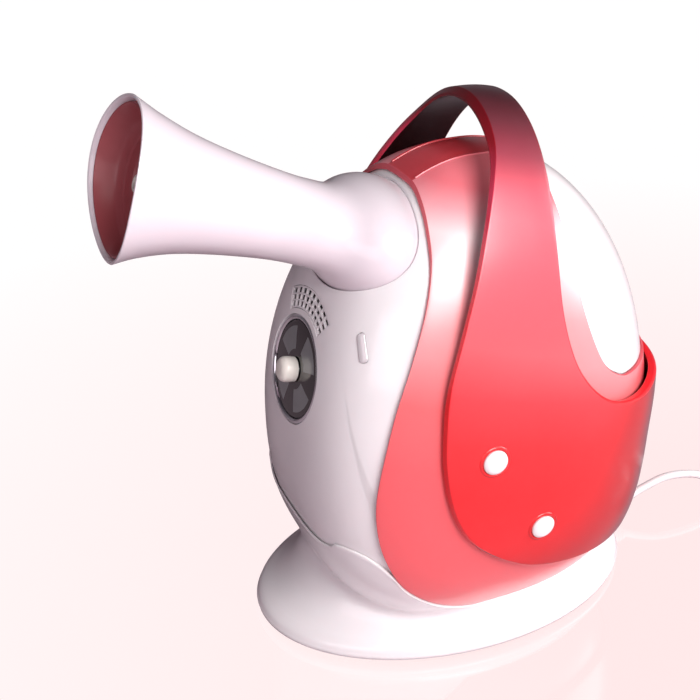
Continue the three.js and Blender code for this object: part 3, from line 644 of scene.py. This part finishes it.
v, f = lathe([(0, -14), (DIAL_R + 3.2, -14), (DIAL_R + 3.2, 8), (0, 8)], 96)
cut_dial = cutter(aimed(v, DIAL_AT, DIAL_PITCH), f)

VENT_R0, VENT_R1, VENT_HALF = 31.5, 43.5, 34.0


def prism(outline, z0, z1):
    n = len(outline)
    verts = [(x, y, z0) for x, y in outline] + [(x, y, z1) for x, y in outline]
    faces = [tuple(range(n))[::-1], tuple(range(n, 2 * n))]
    faces += [(i, (i + 1) % n, (i + 1) % n + n, i + n) for i in range(n)]
    return np.array(verts, float), faces


def sector_outline(r0, r1, half, steps=28):
    a = np.radians(np.linspace(90 - half, 90 + half, steps))
    return [(r1 * math.cos(t), r1 * math.sin(t)) for t in a] + \
           [(r0 * math.cos(t), r0 * math.sin(t)) for t in a[::-1]]


v, f = prism(sector_outline(VENT_R0, VENT_R1, VENT_HALF), -30, 20)
cut_vent = cutter(aimed(v, DIAL_AT, DIAL_PITCH), f)

WIN_X, WIN_Z, WIN_R, WIN_HALF, WIN_LEAN = 47.6, 190.0, 1.6, 5.6, 30.0


def capsule_outline(r, half, steps=14):
    a = np.linspace(0, math.pi, steps)
    top = [(r * math.cos(t), half + r * math.sin(t)) for t in a]
    return top + [(-x, -z) for x, z in top]


def leaning(xz):
    a = math.radians(WIN_LEAN)
    return np.column_stack([xz[:, 0] * math.cos(a) - xz[:, 1] * math.sin(a),
                            xz[:, 0] * math.sin(a) + xz[:, 1] * math.cos(a)])


def window_prism(r, half, y0, y1):
    v, f = prism(leaning(np.array(capsule_outline(r, half))), 0, 1)
    y = np.where(v[:, 2] > 0.5, y1, y0)
    return np.column_stack([v[:, 0] + WIN_X, y, v[:, 1] + WIN_Z]), f


cut_window = cutter(*window_prism(WIN_R + 0.3, WIN_HALF, -50, -110))
front = boolean(front, [cut_dial, cut_vent, cut_window])
piece(front, "housing", "white_gloss", "front_shell")

# ------------------------------------------------------------------ water tank
def tank_skin():
    """outer face, front wall and edges of the tank, closed"""
    n = N_LOOP
    half = half_loop([(y + 0.4, z + 0.3) for y, z in TANK_EDGE], 1.0, n)
    loop = mirror_loop(half)
    centre = np.array([0, 96.0, 196.0])
    centre = to_egg(centre[None], 1.0)[0]
    m = 30
    rows = [to_egg(centre + (loop - centre) * t, 1.0) for t in np.linspace(0, 1, m)[1:]]
    # wall between the +X and -X halves of the loop, one straight row per station
    across = 16
    verts = [centre] + [p for row in rows for p in row]
    count = len(loop)
    faces = [(0, 1 + i, 1 + (i + 1) % count) for i in range(count)]
    for r in range(m - 2):
        a0, b0 = 1 + r * count, 1 + (r + 1) * count
        faces += [(a0 + i, b0 + i, b0 + (i + 1) % count, a0 + (i + 1) % count)
                  for i in range(count)]
    rim = 1 + (m - 2) * count
    right = [rim + i for i in range(n)]
    left = [rim + (count - i) % count for i in range(n)]
    station = []
    for i in range(n):
        if i in (0, n - 1):
            station.append([right[i]] * (across + 1))
            continue
        row = [right[i]]
        for t in np.linspace(0, 1, across + 1)[1:-1]:
            verts.append(np.array(verts[right[i]]) * (1 - t) + np.array(verts[left[i]]) * t)
            row.append(len(verts) - 1)
        row.append(left[i])
        station.append(row)
    for i in range(n - 1):
        for k in range(across):
            quad = [station[i][k], station[i][k + 1], station[i + 1][k + 1], station[i + 1][k]]
            quad = list(dict.fromkeys(quad))
            if len(quad) > 2:
                faces.append(tuple(quad))
    return np.array(verts), faces


v, f = tank_skin()
tank = make_object("water_tank_skin", v, f, (WHITE,), sharp=0)
bev = tank.modifiers.new("edge", "BEVEL")
bev.width, bev.segments, bev.limit_method, bev.angle_limit = 0.0016, 4, "ANGLE", math.radians(38)
bev.harden_normals = False
piece(tank, "tank", "white_gloss", "water_tank")

# ------------------------------------------------------------------ nozzle
def horn_radius(z):
    rows = [(21.6, 27), (20.8, 36), (21.3, 50), (24.0, 76), (27.9, 100), (33.2, 119),
            (MOUTH_R + 0.1, MOUTH_AT)]
    line = spline([(b, a) for a, b in rows], 40)
    return np.interp(z, line[:, 0], line[:, 1])


def moulded(v):
    """widens the pivot end into its barrel, and bows and tilts the mouth"""
    reach = np.maximum(0, v[:, 2] / MOUTH_AT) ** 5
    bow = MOUTH_BOW * ((v[:, 0] / MOUTH_R) ** 2 - 0.5)
    wide = 1 + (BALL_STRETCH - 1) * (1 - smooth(18, 58, v[:, 2]))
    lean = math.tan(math.radians(MOUTH_TILT)) * v[:, 1]
    return np.column_stack([v[:, 0] * wide, v[:, 1], v[:, 2] + reach * (bow + lean)])


def ball_neck():
    """ball, concave fillet and flaring horn, outer profile from the back of the ball"""
    back = math.acos(-19 / BALL_R)
    ball = [(BALL_R * math.sin(a), BALL_R * math.cos(a)) for a in np.linspace(back, 0.95, 26)]
    # fillet from the ball's tangent to the neck
    p0 = np.array(ball[-1])
    t0 = np.array([-math.cos(0.95), math.sin(0.95)])
    z1 = 38.0
    p3 = np.array([horn_radius(z1), z1])
    t3 = np.array([horn_radius(z1) - horn_radius(z1 - 1), 1.0])
    t3 /= np.linalg.norm(t3)
    L = np.linalg.norm(p3 - p0)
    p1, p2 = p0 + t0 * L * 0.42, p3 - t3 * L * 0.42
    mid = []
    for t in np.linspace(0, 1, 16)[1:]:
        mid.append(tuple((1 - t) ** 3 * p0 + 3 * t * (1 - t) ** 2 * p1
                         + 3 * t * t * (1 - t) * p2 + t ** 3 * p3))
    flare = [(float(horn_radius(z)), z) for z in np.linspace(z1, MOUTH_AT - 1.2, 44)[1:]]
    return ball + mid + flare


outer = ball_neck()
rim_r, rim_z = outer[-1]
lip = [(rim_r + 0.25, rim_z + 0.5), (rim_r + 0.1, rim_z + 1.0), (rim_r - 0.5, rim_z + 1.3),
       (rim_r - 1.2, rim_z + 1.15), (rim_r - 1.6, rim_z + 0.6)]
wall = [(r - HORN_WALL, z) for r, z in outer[::-1]]
wall[0] = (rim_r - 1.9, rim_z - 0.2)
horn_v, horn_f = lathe(outer + lip + wall, 128)
horn = make_object("nozzle_horn_skin", aimed(moulded(horn_v), PIVOT, HORN_PITCH), horn_f, (HORN,))
piece(horn, "nozzle", "white_gloss", "nozzle_horn")


def wall_r(z):
    return float(horn_radius(z)) - HORN_WALL - 0.25


LINER_BACK = 115.0
profile = [(5.3, LINER_BACK), (wall_r(LINER_BACK), LINER_BACK)]
profile += [(wall_r(z), z) for z in np.linspace(LINER_BACK + 2, 130.2, 12)]
profile += [(wall_r(130.2) - 0.4, 130.9), (wall_r(130.2) - 1.0, 130.9), (wall_r(130.2) - 1.5, 130.2)]
profile += [(wall_r(z) - 1.7, z) for z in np.linspace(128, 122.5, 5)]
profile += fillet([(wall_r(121.5) - 1.9, 121.5), (26.0, 119.9), (25.0, 119.0), (19.0, 118.8),
                   (18.0, 117.3), (9.0, 117.2), (8.0, 118.2), (6.4, 118.2), (5.3, 117.5)], 0.5, 4)
v, f = lathe(profile, 112)
liner = make_object("nozzle_liner_skin", aimed(moulded(v), PIVOT, HORN_PITCH), f, (DUSKY,))
piece(liner, "nozzle", "dusky_red", "nozzle_liner")

tip_front = fillet([(5, 119), (4.8, 121), (3.8, 122.6), (2.4, 122.6), (2.2, 121.4)], 0.6, 4)
v, f = lathe([(2.2, 107), (5, 107)] + tip_front, 64)
tip = make_object("steam_outlet_tip_skin", aimed(v, PIVOT, HORN_PITCH), f, (WARM,))
piece(tip, "nozzle", "warm_white", "steam_outlet_tip")

# ------------------------------------------------------------------ base
BASE_W, BASE_L = 76.5, 115.0
bell_line = spline([(118.2, 3.0), (115.0, 5.6), (112.5, 10.2), (104, 15.6), (96, 23), (90, 32),
                    (85, 43.5), (81.5, 57), (80.5, 66), (80.5, 72)], 30)[30:]
RIM = spline([(-140, 70), (-98, 71), (-91, 79), (-83, 79), (-74, 73), (-64, 62), (-53, 51.5),
              (-39, 43), (-24, 35.5), (-4, 29), (14, 27), (60, 27), (140, 27)], 30)
CUP_GAP, RIM_LOWEST, UNDER_SADDLE = 0.45, 26.1, 0.6
FLANK_FOOT, CUP_FLOOR, CUP_UNDER = 5.6, 23.7, 20.7  # heights
FILLET_REACH, FILLET_RISE = 7.0, 1.75  # hollow where the cup grows out of the bell
SADDLE_TURN_Y, SADDLE_TURN_Z = -74.5, 87.0  # below this point the saddle's edge runs back and down
saddle_line = spline(SADDLE_EDGE)
saddle_line = saddle_line[saddle_line[:, 1] < SADDLE_TURN_Z]


def rim_height(y):
    """height of the base's rim: round the front of the body, then just below the saddle cover"""
    high = float(np.interp(y, RIM[:, 0], RIM[:, 1]))
    if y > SADDLE_TURN_Y:
        edge = float(np.interp(y, saddle_line[:, 0], saddle_line[:, 1]))
        high = min(high, edge - UNDER_SADDLE)
    return max(high, RIM_LOWEST)


def rim_width(y):
    """the rim is a thin lip on the bare shell and as thick as the saddle cover behind it"""
    return 0.9 + 1.3 * float(smooth(-84, -58, y))


def egg_reach(d, z, off):
    """distance from the body's axis to the egg in plan direction d at height z"""
    wide, deep, m = (float(v) for v in girth(BODY_Y + d[1], z, off))
    return (abs(d[0] / wide) ** m + abs(d[1] / deep) ** m) ** (-1 / m)


def bell_reach(d, z):
    """distance from the body's axis to the bell in plan direction d at height z"""
    long = np.interp(z, bell_line[:, 1], bell_line[:, 0])
    wide = long * BASE_W / BASE_L
    a = (d[0] / wide) ** 2 + (d[1] / long) ** 2
    b = BODY_Y * d[1] / long ** 2
    c = (BODY_Y / long) ** 2 - 1
    return (-b + math.sqrt(b * b - a * c)) / a


def base_section(angle, n=34):
    """closed line from the foot of the flank over the rim, down the cup and back under the floor"""
    d = (math.sin(angle), -math.cos(angle))

    def at(r, z):
        return [d[0] * r, BODY_Y + d[1] * r, z]

    top = 50.0
    for _ in range(12):
        y = BODY_Y + d[1] * egg_reach(d, top, 2.0)
        top = rim_height(y)
    gap, width = CUP_GAP, rim_width(y)
    flank = []
    for z in FLANK_FOOT + (top - FLANK_FOOT) * np.linspace(0, 1, n) ** 1.3:
        bell, cup = bell_reach(d, z), egg_reach(d, z, gap + width) if z > 12 else 0.0
        blend = max(FILLET_REACH - abs(bell - cup), 0) / FILLET_REACH
        flank.append((max(bell, cup) + blend * blend * FILLET_RISE, z))
    foot = flank[0][0]
    line = [(foot - 6.0, 3.0), (foot - 1.6, 3.0), (foot - 0.5, 3.7)] + flank[:-1]
    r, z = flank[-1]
    inner = egg_reach(d, top, gap)
    lip = max(r - inner, width)
    line += [(inner + lip, z - 0.9), (inner + 0.9 * lip, z - 0.3), (inner + 0.7 * lip, z),
             (inner + 0.2 * lip, z), (inner + 0.05 * lip, z - 0.3), (inner, z - 0.8)]
    low = min(egg_reach(d, CUP_FLOOR, gap), bell_reach(d, CUP_FLOOR) - 1.5)
    for t in (0.33, 0.66):
        zz = (top - 0.8) * (1 - t) + CUP_FLOOR * t
        line.append((min(egg_reach(d, zz, gap), max(bell_reach(d, zz), inner) - 1.2), zz))
    line += [(low, CUP_FLOOR), (low * 0.5, CUP_FLOOR), (low * 0.5, CUP_UNDER), (low - 2, CUP_UNDER),
             (foot - 18.0, 12.0)]
    return [at(r, z) for r, z in line]


n = 216
rings = np.array([base_section(a) for a in np.linspace(0, 2 * math.pi, n, endpoint=False)])
m = rings.shape[1]
floor_col = m - 4
faces = []
for i in range(n):
    i2 = (i + 1) % n
    for j in range(m):
        j2 = (j + 1) % m
        if j != floor_col:
            faces.append((i * m + j, i2 * m + j, i2 * m + j2, i * m + j2))
    faces.append((n * m, i * m + floor_col, i2 * m + floor_col))
    faces.append((n * m + 1, i2 * m + floor_col + 1, i * m + floor_col + 1))
verts = np.vstack([rings.reshape(-1, 3), [[0, BODY_Y, CUP_FLOOR], [0, BODY_Y, CUP_UNDER]]])
base = make_object("base_cover_skin", verts, faces, (WHITE,), sharp=50)
piece(base, "housing", "white_gloss", "base_cover")

# ------------------------------------------------------------------ dial
bezel_in, bezel_out = DIAL_R + 0.2, DIAL_R + 3.0
v, f = lathe(fillet([(bezel_in, -5.5), (bezel_in, -0.9), (DIAL_R + 1.4, 0.2), (bezel_out, -0.9),
                     (bezel_out, -5.5)], 0.8, 5), 128)
bezel = make_object("dial_bezel_skin", aimed(v, DIAL_AT, DIAL_PITCH), f, (CHROME,))
piece(bezel, "housing", "chrome_trim", "dial_bezel")


def dial_face_material():
    """black gloss face with four grey sectors in a ring between black spokes"""
    n = Nodes("black_gloss_dial_face")
    co = n.new("TexCoord").outputs["Object"]
    sep = n.new("SeparateXYZ")
    n.link(co, sep.inputs[0])
    p = math.radians(DIAL_PITCH)
    x = sep.outputs["X"]
    dy = n.math("SUBTRACT", sep.outputs["Y"], DIAL_AT[1] * MM)
    dz = n.math("SUBTRACT", sep.outputs["Z"], DIAL_AT[2] * MM)
    up = n.math("ADD", n.math("MULTIPLY", dy, math.sin(p)), n.math("MULTIPLY", dz, math.cos(p)))
    r = n.math("SQRT", n.math("ADD", n.math("MULTIPLY", x, x), n.math("MULTIPLY", up, up)))
    ang = n.math("ARCTAN2", up, x)
    turn = n.math("FRACT", n.math("MULTIPLY", n.math("ADD", ang, math.pi), 4 / (2 * math.pi)))
    spoke = n.math("LESS_THAN", n.math("ABSOLUTE", n.math("SUBTRACT", turn, 0.5)), 0.3)
    ring = n.math("MULTIPLY", n.math("GREATER_THAN", r, 0.0105), n.math("LESS_THAN", r, 0.0225))
    mask = n.math("MULTIPLY", spoke, ring)
    noise = n.new("TexNoise", Scale=60.0, Detail=2.0)
    n.link(co, noise.inputs["Vector"])
    grey = n.mix(noise.outputs[0], srgb("6f7274"), srgb("808385"))
    b = n.new("BsdfPrincipled")
    n.link(n.mix(mask, srgb("070708"), grey), b.inputs["Base Color"])
    n.link(n.math("ADD", n.math("MULTIPLY", mask, 0.2), 0.1), b.inputs["Roughness"])
    b.inputs["Coat Weight"].default_value = 0.8
    n.link(b.outputs[0], n.out.inputs[0])
    return n.mat


v, f = lathe([(3.6, -4.6), (DIAL_R, -4.6), (DIAL_R, -1.5), (DIAL_R - 0.5, -1.0), (DIAL_R - 8, -0.6),
              (8.0, -0.5), (4.2, -0.5), (3.6, -0.9)], 128)
panel = make_object("dial_panel_skin", aimed(v, DIAL_AT, DIAL_PITCH), f, (dial_face_material(),))
piece(panel, "housing", "black_gloss", "dial_panel")

knob_outside = fillet([(6.5, 0.1), (6.75, 3.0), (6.6, 6.6), (4.6, 8.5), (0, 9.0)],
                      [0, 0.6, 1.6, 2.6, 0], 8)
knob_profile = [(3.05, 0.2), (5.6, 0.0)] + knob_outside + [(0, 4.4), (3.05, 4.4)]
v, f = lathe(knob_profile, 96)
knob = make_object("control_knob_skin", aimed(v, DIAL_AT, DIAL_PITCH), f, (WARM,), sharp=50)
piece(knob, "knob", "warm_white", "control_knob")

# ------------------------------------------------------------------ vent grille
def vent_plate(top, under, pierced=True):
    """a plate that follows the egg, between two depths below its surface, with or without slots"""
    rows = [VENT_R0 + 0.3, 32.7, 35.4, 36.2, 38.8, 39.6, 42.3, VENT_R1 - 0.3]
    slots, gap = 9, 1.2
    half = VENT_HALF - 0.5
    pitch = 2 * half / slots
    cols = [-half]
    for i in range(slots):
        cols += [-half + pitch * i + gap / 2 + 0.4, -half + pitch * (i + 1) - gap / 2 + 0.2]
    cols.append(half)
    cols = np.array(cols)
    fine_cols, hole = [], []
    for c0, c1, is_slot in zip(cols[:-1], cols[1:], [False, True] * slots + [False]):
        for t in np.linspace(0, 1, 4, endpoint=False):
            fine_cols.append(c0 + (c1 - c0) * t)
            hole.append(is_slot)
    fine_cols.append(cols[-1])
    pts, faces = [], []
    for off in (top, under):
        for r in rows:
            a = np.radians(90 - np.array(fine_cols))
            flat = np.column_stack([r * np.cos(a), r * np.sin(a), np.zeros(len(a))])
            pts.append(on_egg_along_dial(flat, off))
    nc, nr = len(fine_cols), len(rows)
    pts = np.vstack(pts)
    at = lambda layer, i, j: layer * nr * nc + i * nc + j
    solid = {(i, j) for i in range(nr - 1) for j in range(nc - 1)
             if not (pierced and i % 2 == 1 and hole[j])}
    for i, j in sorted(solid):
        for layer, flip in ((0, False), (1, True)):
            q = [at(layer, i, j), at(layer, i, j + 1), at(layer, i + 1, j + 1), at(layer, i + 1, j)]
            faces.append(tuple(q[::-1] if flip else q))
        sides = (((i - 1, j), (i, j), (i, j + 1)), ((i + 1, j), (i + 1, j + 1), (i + 1, j)),
                 ((i, j - 1), (i + 1, j), (i, j)), ((i, j + 1), (i, j + 1), (i + 1, j + 1)))
        for neighbour, a, b in sides:
            if neighbour not in solid:
                faces.append((at(0, *b), at(0, *a), at(1, *a), at(1, *b)))
    return pts, faces


def on_egg_along_dial(flat, off):
    """moves points of the dial's plane along its normal on to the egg"""
    b = math.radians(90 - DIAL_PITCH)
    x, up = flat[:, 0], flat[:, 1]
    base_pts = np.column_stack([x, up * math.cos(b), up * math.sin(b)]) + DIAL_AT
    rise = bisect(np.full(len(flat), -40.0), np.full(len(flat), 10.0),
                  lambda r: egg_field(base_pts + N_DIAL * r[:, None], off) < 0)
    return base_pts + N_DIAL * rise[:, None]


v, f = vent_plate(-0.25, -1.5)
vent = make_object("vent_grille_skin", v, f, (WHITE,), sharp=30)
piece(vent, "housing", "white_gloss", "vent_grille")
# painted shade: a black sheet under the slots stands in for the shade inside the vent
v, f = vent_plate(-1.9, -2.9, pierced=False)
vent_shade_sheet = make_object("vent_shade_backing", v, f, (BLACK,), sharp=30)
piece(vent_shade_sheet, "housing", "black_gloss")


def window_lens():
    """a lens that follows the egg, domed over the window's outline"""
    outline = np.array(capsule_outline(WIN_R, WIN_HALF, 18))
    rings = []
    for scale, off in ((1.0, -2.3), (1.0, -0.1), (0.93, 0.25), (0.7, 0.55), (0.3, 0.7)):
        inset = np.abs(outline[:, 1]) - WIN_R * (1 - scale)
        xz = leaning(np.column_stack([outline[:, 0] * scale, np.sign(outline[:, 1]) * inset]))
        xz += (WIN_X, WIN_Z)
        x, z = xz.T
        y = bisect(np.full(len(xz), -110.0), np.full(len(xz), 0.0),
                   lambda y: egg_field(np.column_stack([x, y, z]), off) > 0)
        rings.append(np.column_stack([x, y, z]))
    n = len(outline)
    verts = np.vstack(rings)
    faces = [tuple(range(n))[::-1], tuple(range(4 * n, 5 * n))]
    for r in range(4):
        faces += [(r * n + i, r * n + (i + 1) % n, (r + 1) * n + (i + 1) % n, (r + 1) * n + i)
                  for i in range(n)]
    return verts, faces


v, f = window_lens()
window = make_object("indicator_window_skin", v, f, (SMOKE,), sharp=30)
piece(window, "housing", "window_smoke", "indicator_window")

# ------------------------------------------------------------------ handle caps
PINS = {"upper": (-22.0, 135.0), "lower": (9.0, 87.5)}


def handle_point(y, z, off):
    """distance from the centre plane to the handle's surface on the +X side"""
    wide, deep, m = girth(y, z, off, HANDLE_TOP)
    return float(wide * (1 - (abs(y - BODY_Y) / deep) ** m) ** (1 / m))


def handle_normal(y, z):
    """a point on the handle's outer face and the outward normal there"""
    x = handle_point(y, z, HANDLE_OUT)
    p = np.array([x, y, z])
    g = []
    for i in range(3):
        d = np.zeros(3)
        d[i] = 0.05
        ahead, behind = (egg_field(p + s * d, HANDLE_OUT, HANDLE_TOP) for s in (1, -1))
        g.append(float(ahead - behind))
    return p, np.array(g) / np.linalg.norm(g)


cap_profile = [(0, -3.4), (3.2, -3.4), (3.2, -0.3)] + \
    fillet([(3.2, -0.3), (6.4, -0.3), (6.7, 0.9), (5.0, 2.2), (0, 2.6)], [0, 0.3, 0.9, 2.4, 0], 7)[1:]
ring_profile = fillet([(6.9, -0.8), (6.9, 0.2), (7.5, 0.6), (8.4, 0.2), (9.0, -0.8)],
                      [0, 0.4, 0.6, 0.5, 0], 5)
for where, (py, pz) in PINS.items():
    p, nrm = handle_normal(py, pz)
    for side, sign in (("right", 1), ("left", -1)):
        flip = np.array([sign, 1, 1])
        v, f = lathe(cap_profile, 72)
        cap = make_object(f"handle_cap_{where}_{side}_skin", turned_about(v, p * flip, nrm * flip), f,
                          (WHITE,), sharp=50)
        piece(cap, "housing", "white_gloss", f"handle_cap_{where}_{side}")
        v, f = lathe(ring_profile, 72)
        boss = make_object(f"handle_boss_{where}_{side}", turned_about(v, p * flip, nrm * flip), f,
                           (RED,), sharp=50)
        piece(boss, "housing", "red_handle")

# ------------------------------------------------------------------ cord, bush and plug
CORD_AT = (0, 102.5, 14)
CORD = [(0, 84, 14), (0, 102, 14), (0, 118, 14), (0, 133, 14), (0.5, 144, 18.5), (2, 162, 23.6),
        (5.5, 183, 21.5), (12, 202, 12), (23, 217, 5.2), (40, 226, 4), (57, 224.5, 4.2),
        (66.5, 216, 7.6), (69, 206, 10.2)]


v, f = sweep(resample(spline(CORD, 24), 150), 2.5)
cord = make_object("power_cord_skin", v, f, (WHITE,))
piece(cord, "housing", "white_gloss", "power_cord")

bush_profile = [(2.7, -12), (6.4, -12), (6.4, -10.6), (5.1, -10.6), (5.1, 13), (6.0, 13.3), (6.1, 15)]
z = 15.4
for k in range(4):
    r = 5.9 - 0.36 * k
    bush_profile += [(r, z), (r, z + 1.7), (r - 1.2, z + 2.1), (r - 1.2, z + 3.0)]
    z += 3.4
bush_profile += [(4.2, z), (4.0, 30.4), (2.7, 30.4)]
v, f = lathe(bush_profile, 64)
bush = make_object("cord_bush_skin", turned_about(v, CORD_AT, (0, 1, 0)), f, (WHITE,), sharp=30)
piece(bush, "housing", "white_gloss", "cord_bush")

plug_profile = fillet([(0, 0), (4.0, 0), (4.6, 11), (9.2, 18), (10, 33.6), (0, 34)],
                      [0, 1.2, 3, 3, 1.6, 0], 6)
v, f = lathe(plug_profile, 72)
v[:, 0] *= 1.25
plug = make_object("plug_body_skin", turned_about(v, (69, 205, 10.6), (0, -1, 0)), f,
                   (WHITE,), sharp=50)
piece(plug, "housing", "white_gloss", "plug_body")
for side, dx in (("left", -5), ("right", 5)):
    v, f = lathe(fillet([(0, 0), (2, 0), (2, 17), (0, 18)], [0, 0, 1.0, 0], 6), 40)
    pin = make_object(f"plug_pin_{side}_skin", turned_about(v, (69 + dx, 170.8, 10.6), (0, -1, 0)), f,
                      (CHROME,), sharp=50)
    piece(pin, "housing", "chrome_trim", f"plug_pin_{side}")

# ------------------------------------------------------------------ stage, light and camera
def floor_material():
    """pale backdrop: a glow to the camera, pinker round the object as a painted pool of light, with a
    faint mirror image; dim to other rays
    """
    n = Nodes("pale_floor")
    co = n.new("TexCoord").outputs["Object"]
    noise = n.new("TexNoise", Scale=0.8, Detail=1.0)
    n.link(co, noise.inputs["Vector"])
    far = n.new("VectorMath", operation="DISTANCE")
    n.link(co, far.inputs[0])
    far.inputs[1].default_value = (0.1, 0.15, 0.0)
    reach = n.math("ADD", far.outputs["Value"], n.math("MULTIPLY", noise.outputs[0], 0.05))
    # painted light: a pink pool round the object, fading to near white further off
    glow = n.ramp(reach, [(0.15, srgb("fde7e7")), (0.75, srgb("fffcfc"))])
    e = n.new("Emission", Strength=1.13)
    n.link(glow, e.inputs["Color"])
    mirror = n.new("BsdfGlossy", Roughness=0.07)
    mirror.inputs["Color"].default_value = (1, 1, 1, 1)
    seen = n.new("MixShader", Fac=0.1)
    n.link(e.outputs[0], seen.inputs[1])
    n.link(mirror.outputs[0], seen.inputs[2])
    dim = n.new("BsdfDiffuse")
    dim.inputs["Color"].default_value = (*srgb("bcaab2"), 1)
    pick = n.new("MixShader")
    n.link(n.new("LightPath").outputs["Is Camera Ray"], pick.inputs[0])
    n.link(dim.outputs[0], pick.inputs[1])
    n.link(seen.outputs[0], pick.inputs[2])
    n.link(pick.outputs[0], n.out.inputs[0])
    return n.mat


bpy.ops.mesh.primitive_plane_add(size=12, location=(0, 0, 0))
floor = bpy.context.object
floor.name = "stage_floor"
floor.data.materials.append(floor_material())

world = bpy.data.worlds.new("studio")
bpy.context.scene.world = world
world.use_nodes = True
wt = world.node_tree
wt.nodes.clear()
w_out = wt.nodes.new("ShaderNodeOutputWorld")
w_bg = wt.nodes.new("ShaderNodeBackground")
w_co = wt.nodes.new("ShaderNodeTexCoord")
w_sep = wt.nodes.new("ShaderNodeSeparateXYZ")
w_ramp = wt.nodes.new("ShaderNodeValToRGB")
wt.links.new(w_co.outputs["Generated"], w_sep.inputs[0])
wt.links.new(w_sep.outputs["Z"], w_ramp.inputs[0])
ramp = w_ramp.color_ramp.elements
ramp[0].position, ramp[0].color = 0.0, (0.5, 0.43, 0.48, 1)
ramp[1].position, ramp[1].color = 0.9, (0.1, 0.08, 0.1, 1)
wt.links.new(w_ramp.outputs[0], w_bg.inputs[0])
w_bg.inputs[1].default_value = 0.38
wt.links.new(w_bg.outputs[0], w_out.inputs[0])


def area(name, at, aim, size, power, colour=(1, 1, 1)):
    data = bpy.data.lights.new(name, "AREA")
    data.shape, data.size, data.size_y = "RECTANGLE", size[0], size[1]
    data.energy, data.color = power, colour
    obj = bpy.data.objects.new(name, data)
    bpy.context.scene.collection.objects.link(obj)
    obj.location = at
    obj.rotation_euler = (Vector(aim) - Vector(at)).to_track_quat("-Z", "Y").to_euler()
    return obj


area("key_side", (1.05, 0.12, 0.92), (0, 0.02, 0.15), (0.8, 0.6), 18, (1, 0.985, 0.98))
area("rim_back", (0.5, 1.1, 0.6), (0, 0.03, 0.16), (0.7, 0.6), 10, (1, 0.97, 0.97))
area("fill_front", (0.8, -0.9, 0.5), (0, -0.05, 0.15), (0.8, 0.6), 2.8, (1, 0.92, 0.97))

CAM_AZ, CAM_EL, CAM_D = math.radians(66), math.radians(28), 0.628
back = Vector((math.sin(CAM_AZ) * math.cos(CAM_EL), -math.cos(CAM_AZ) * math.cos(CAM_EL),
               math.sin(CAM_EL)))
target = Vector((0, -0.0605, 0.1627))
cam_data = bpy.data.cameras.new("camera")
cam_data.lens, cam_data.sensor_width = 61.7, 36
cam_data.clip_start, cam_data.clip_end = 0.01, 50
camera = bpy.data.objects.new("camera", cam_data)
bpy.context.scene.collection.objects.link(camera)
camera.location = target + back * CAM_D
camera.rotation_euler = (target - camera.location).to_track_quat("-Z", "Y").to_euler()
bpy.context.scene.camera = camera
bpy.context.scene.view_settings.view_transform = "Standard"
bpy.context.scene.view_settings.look = "None"
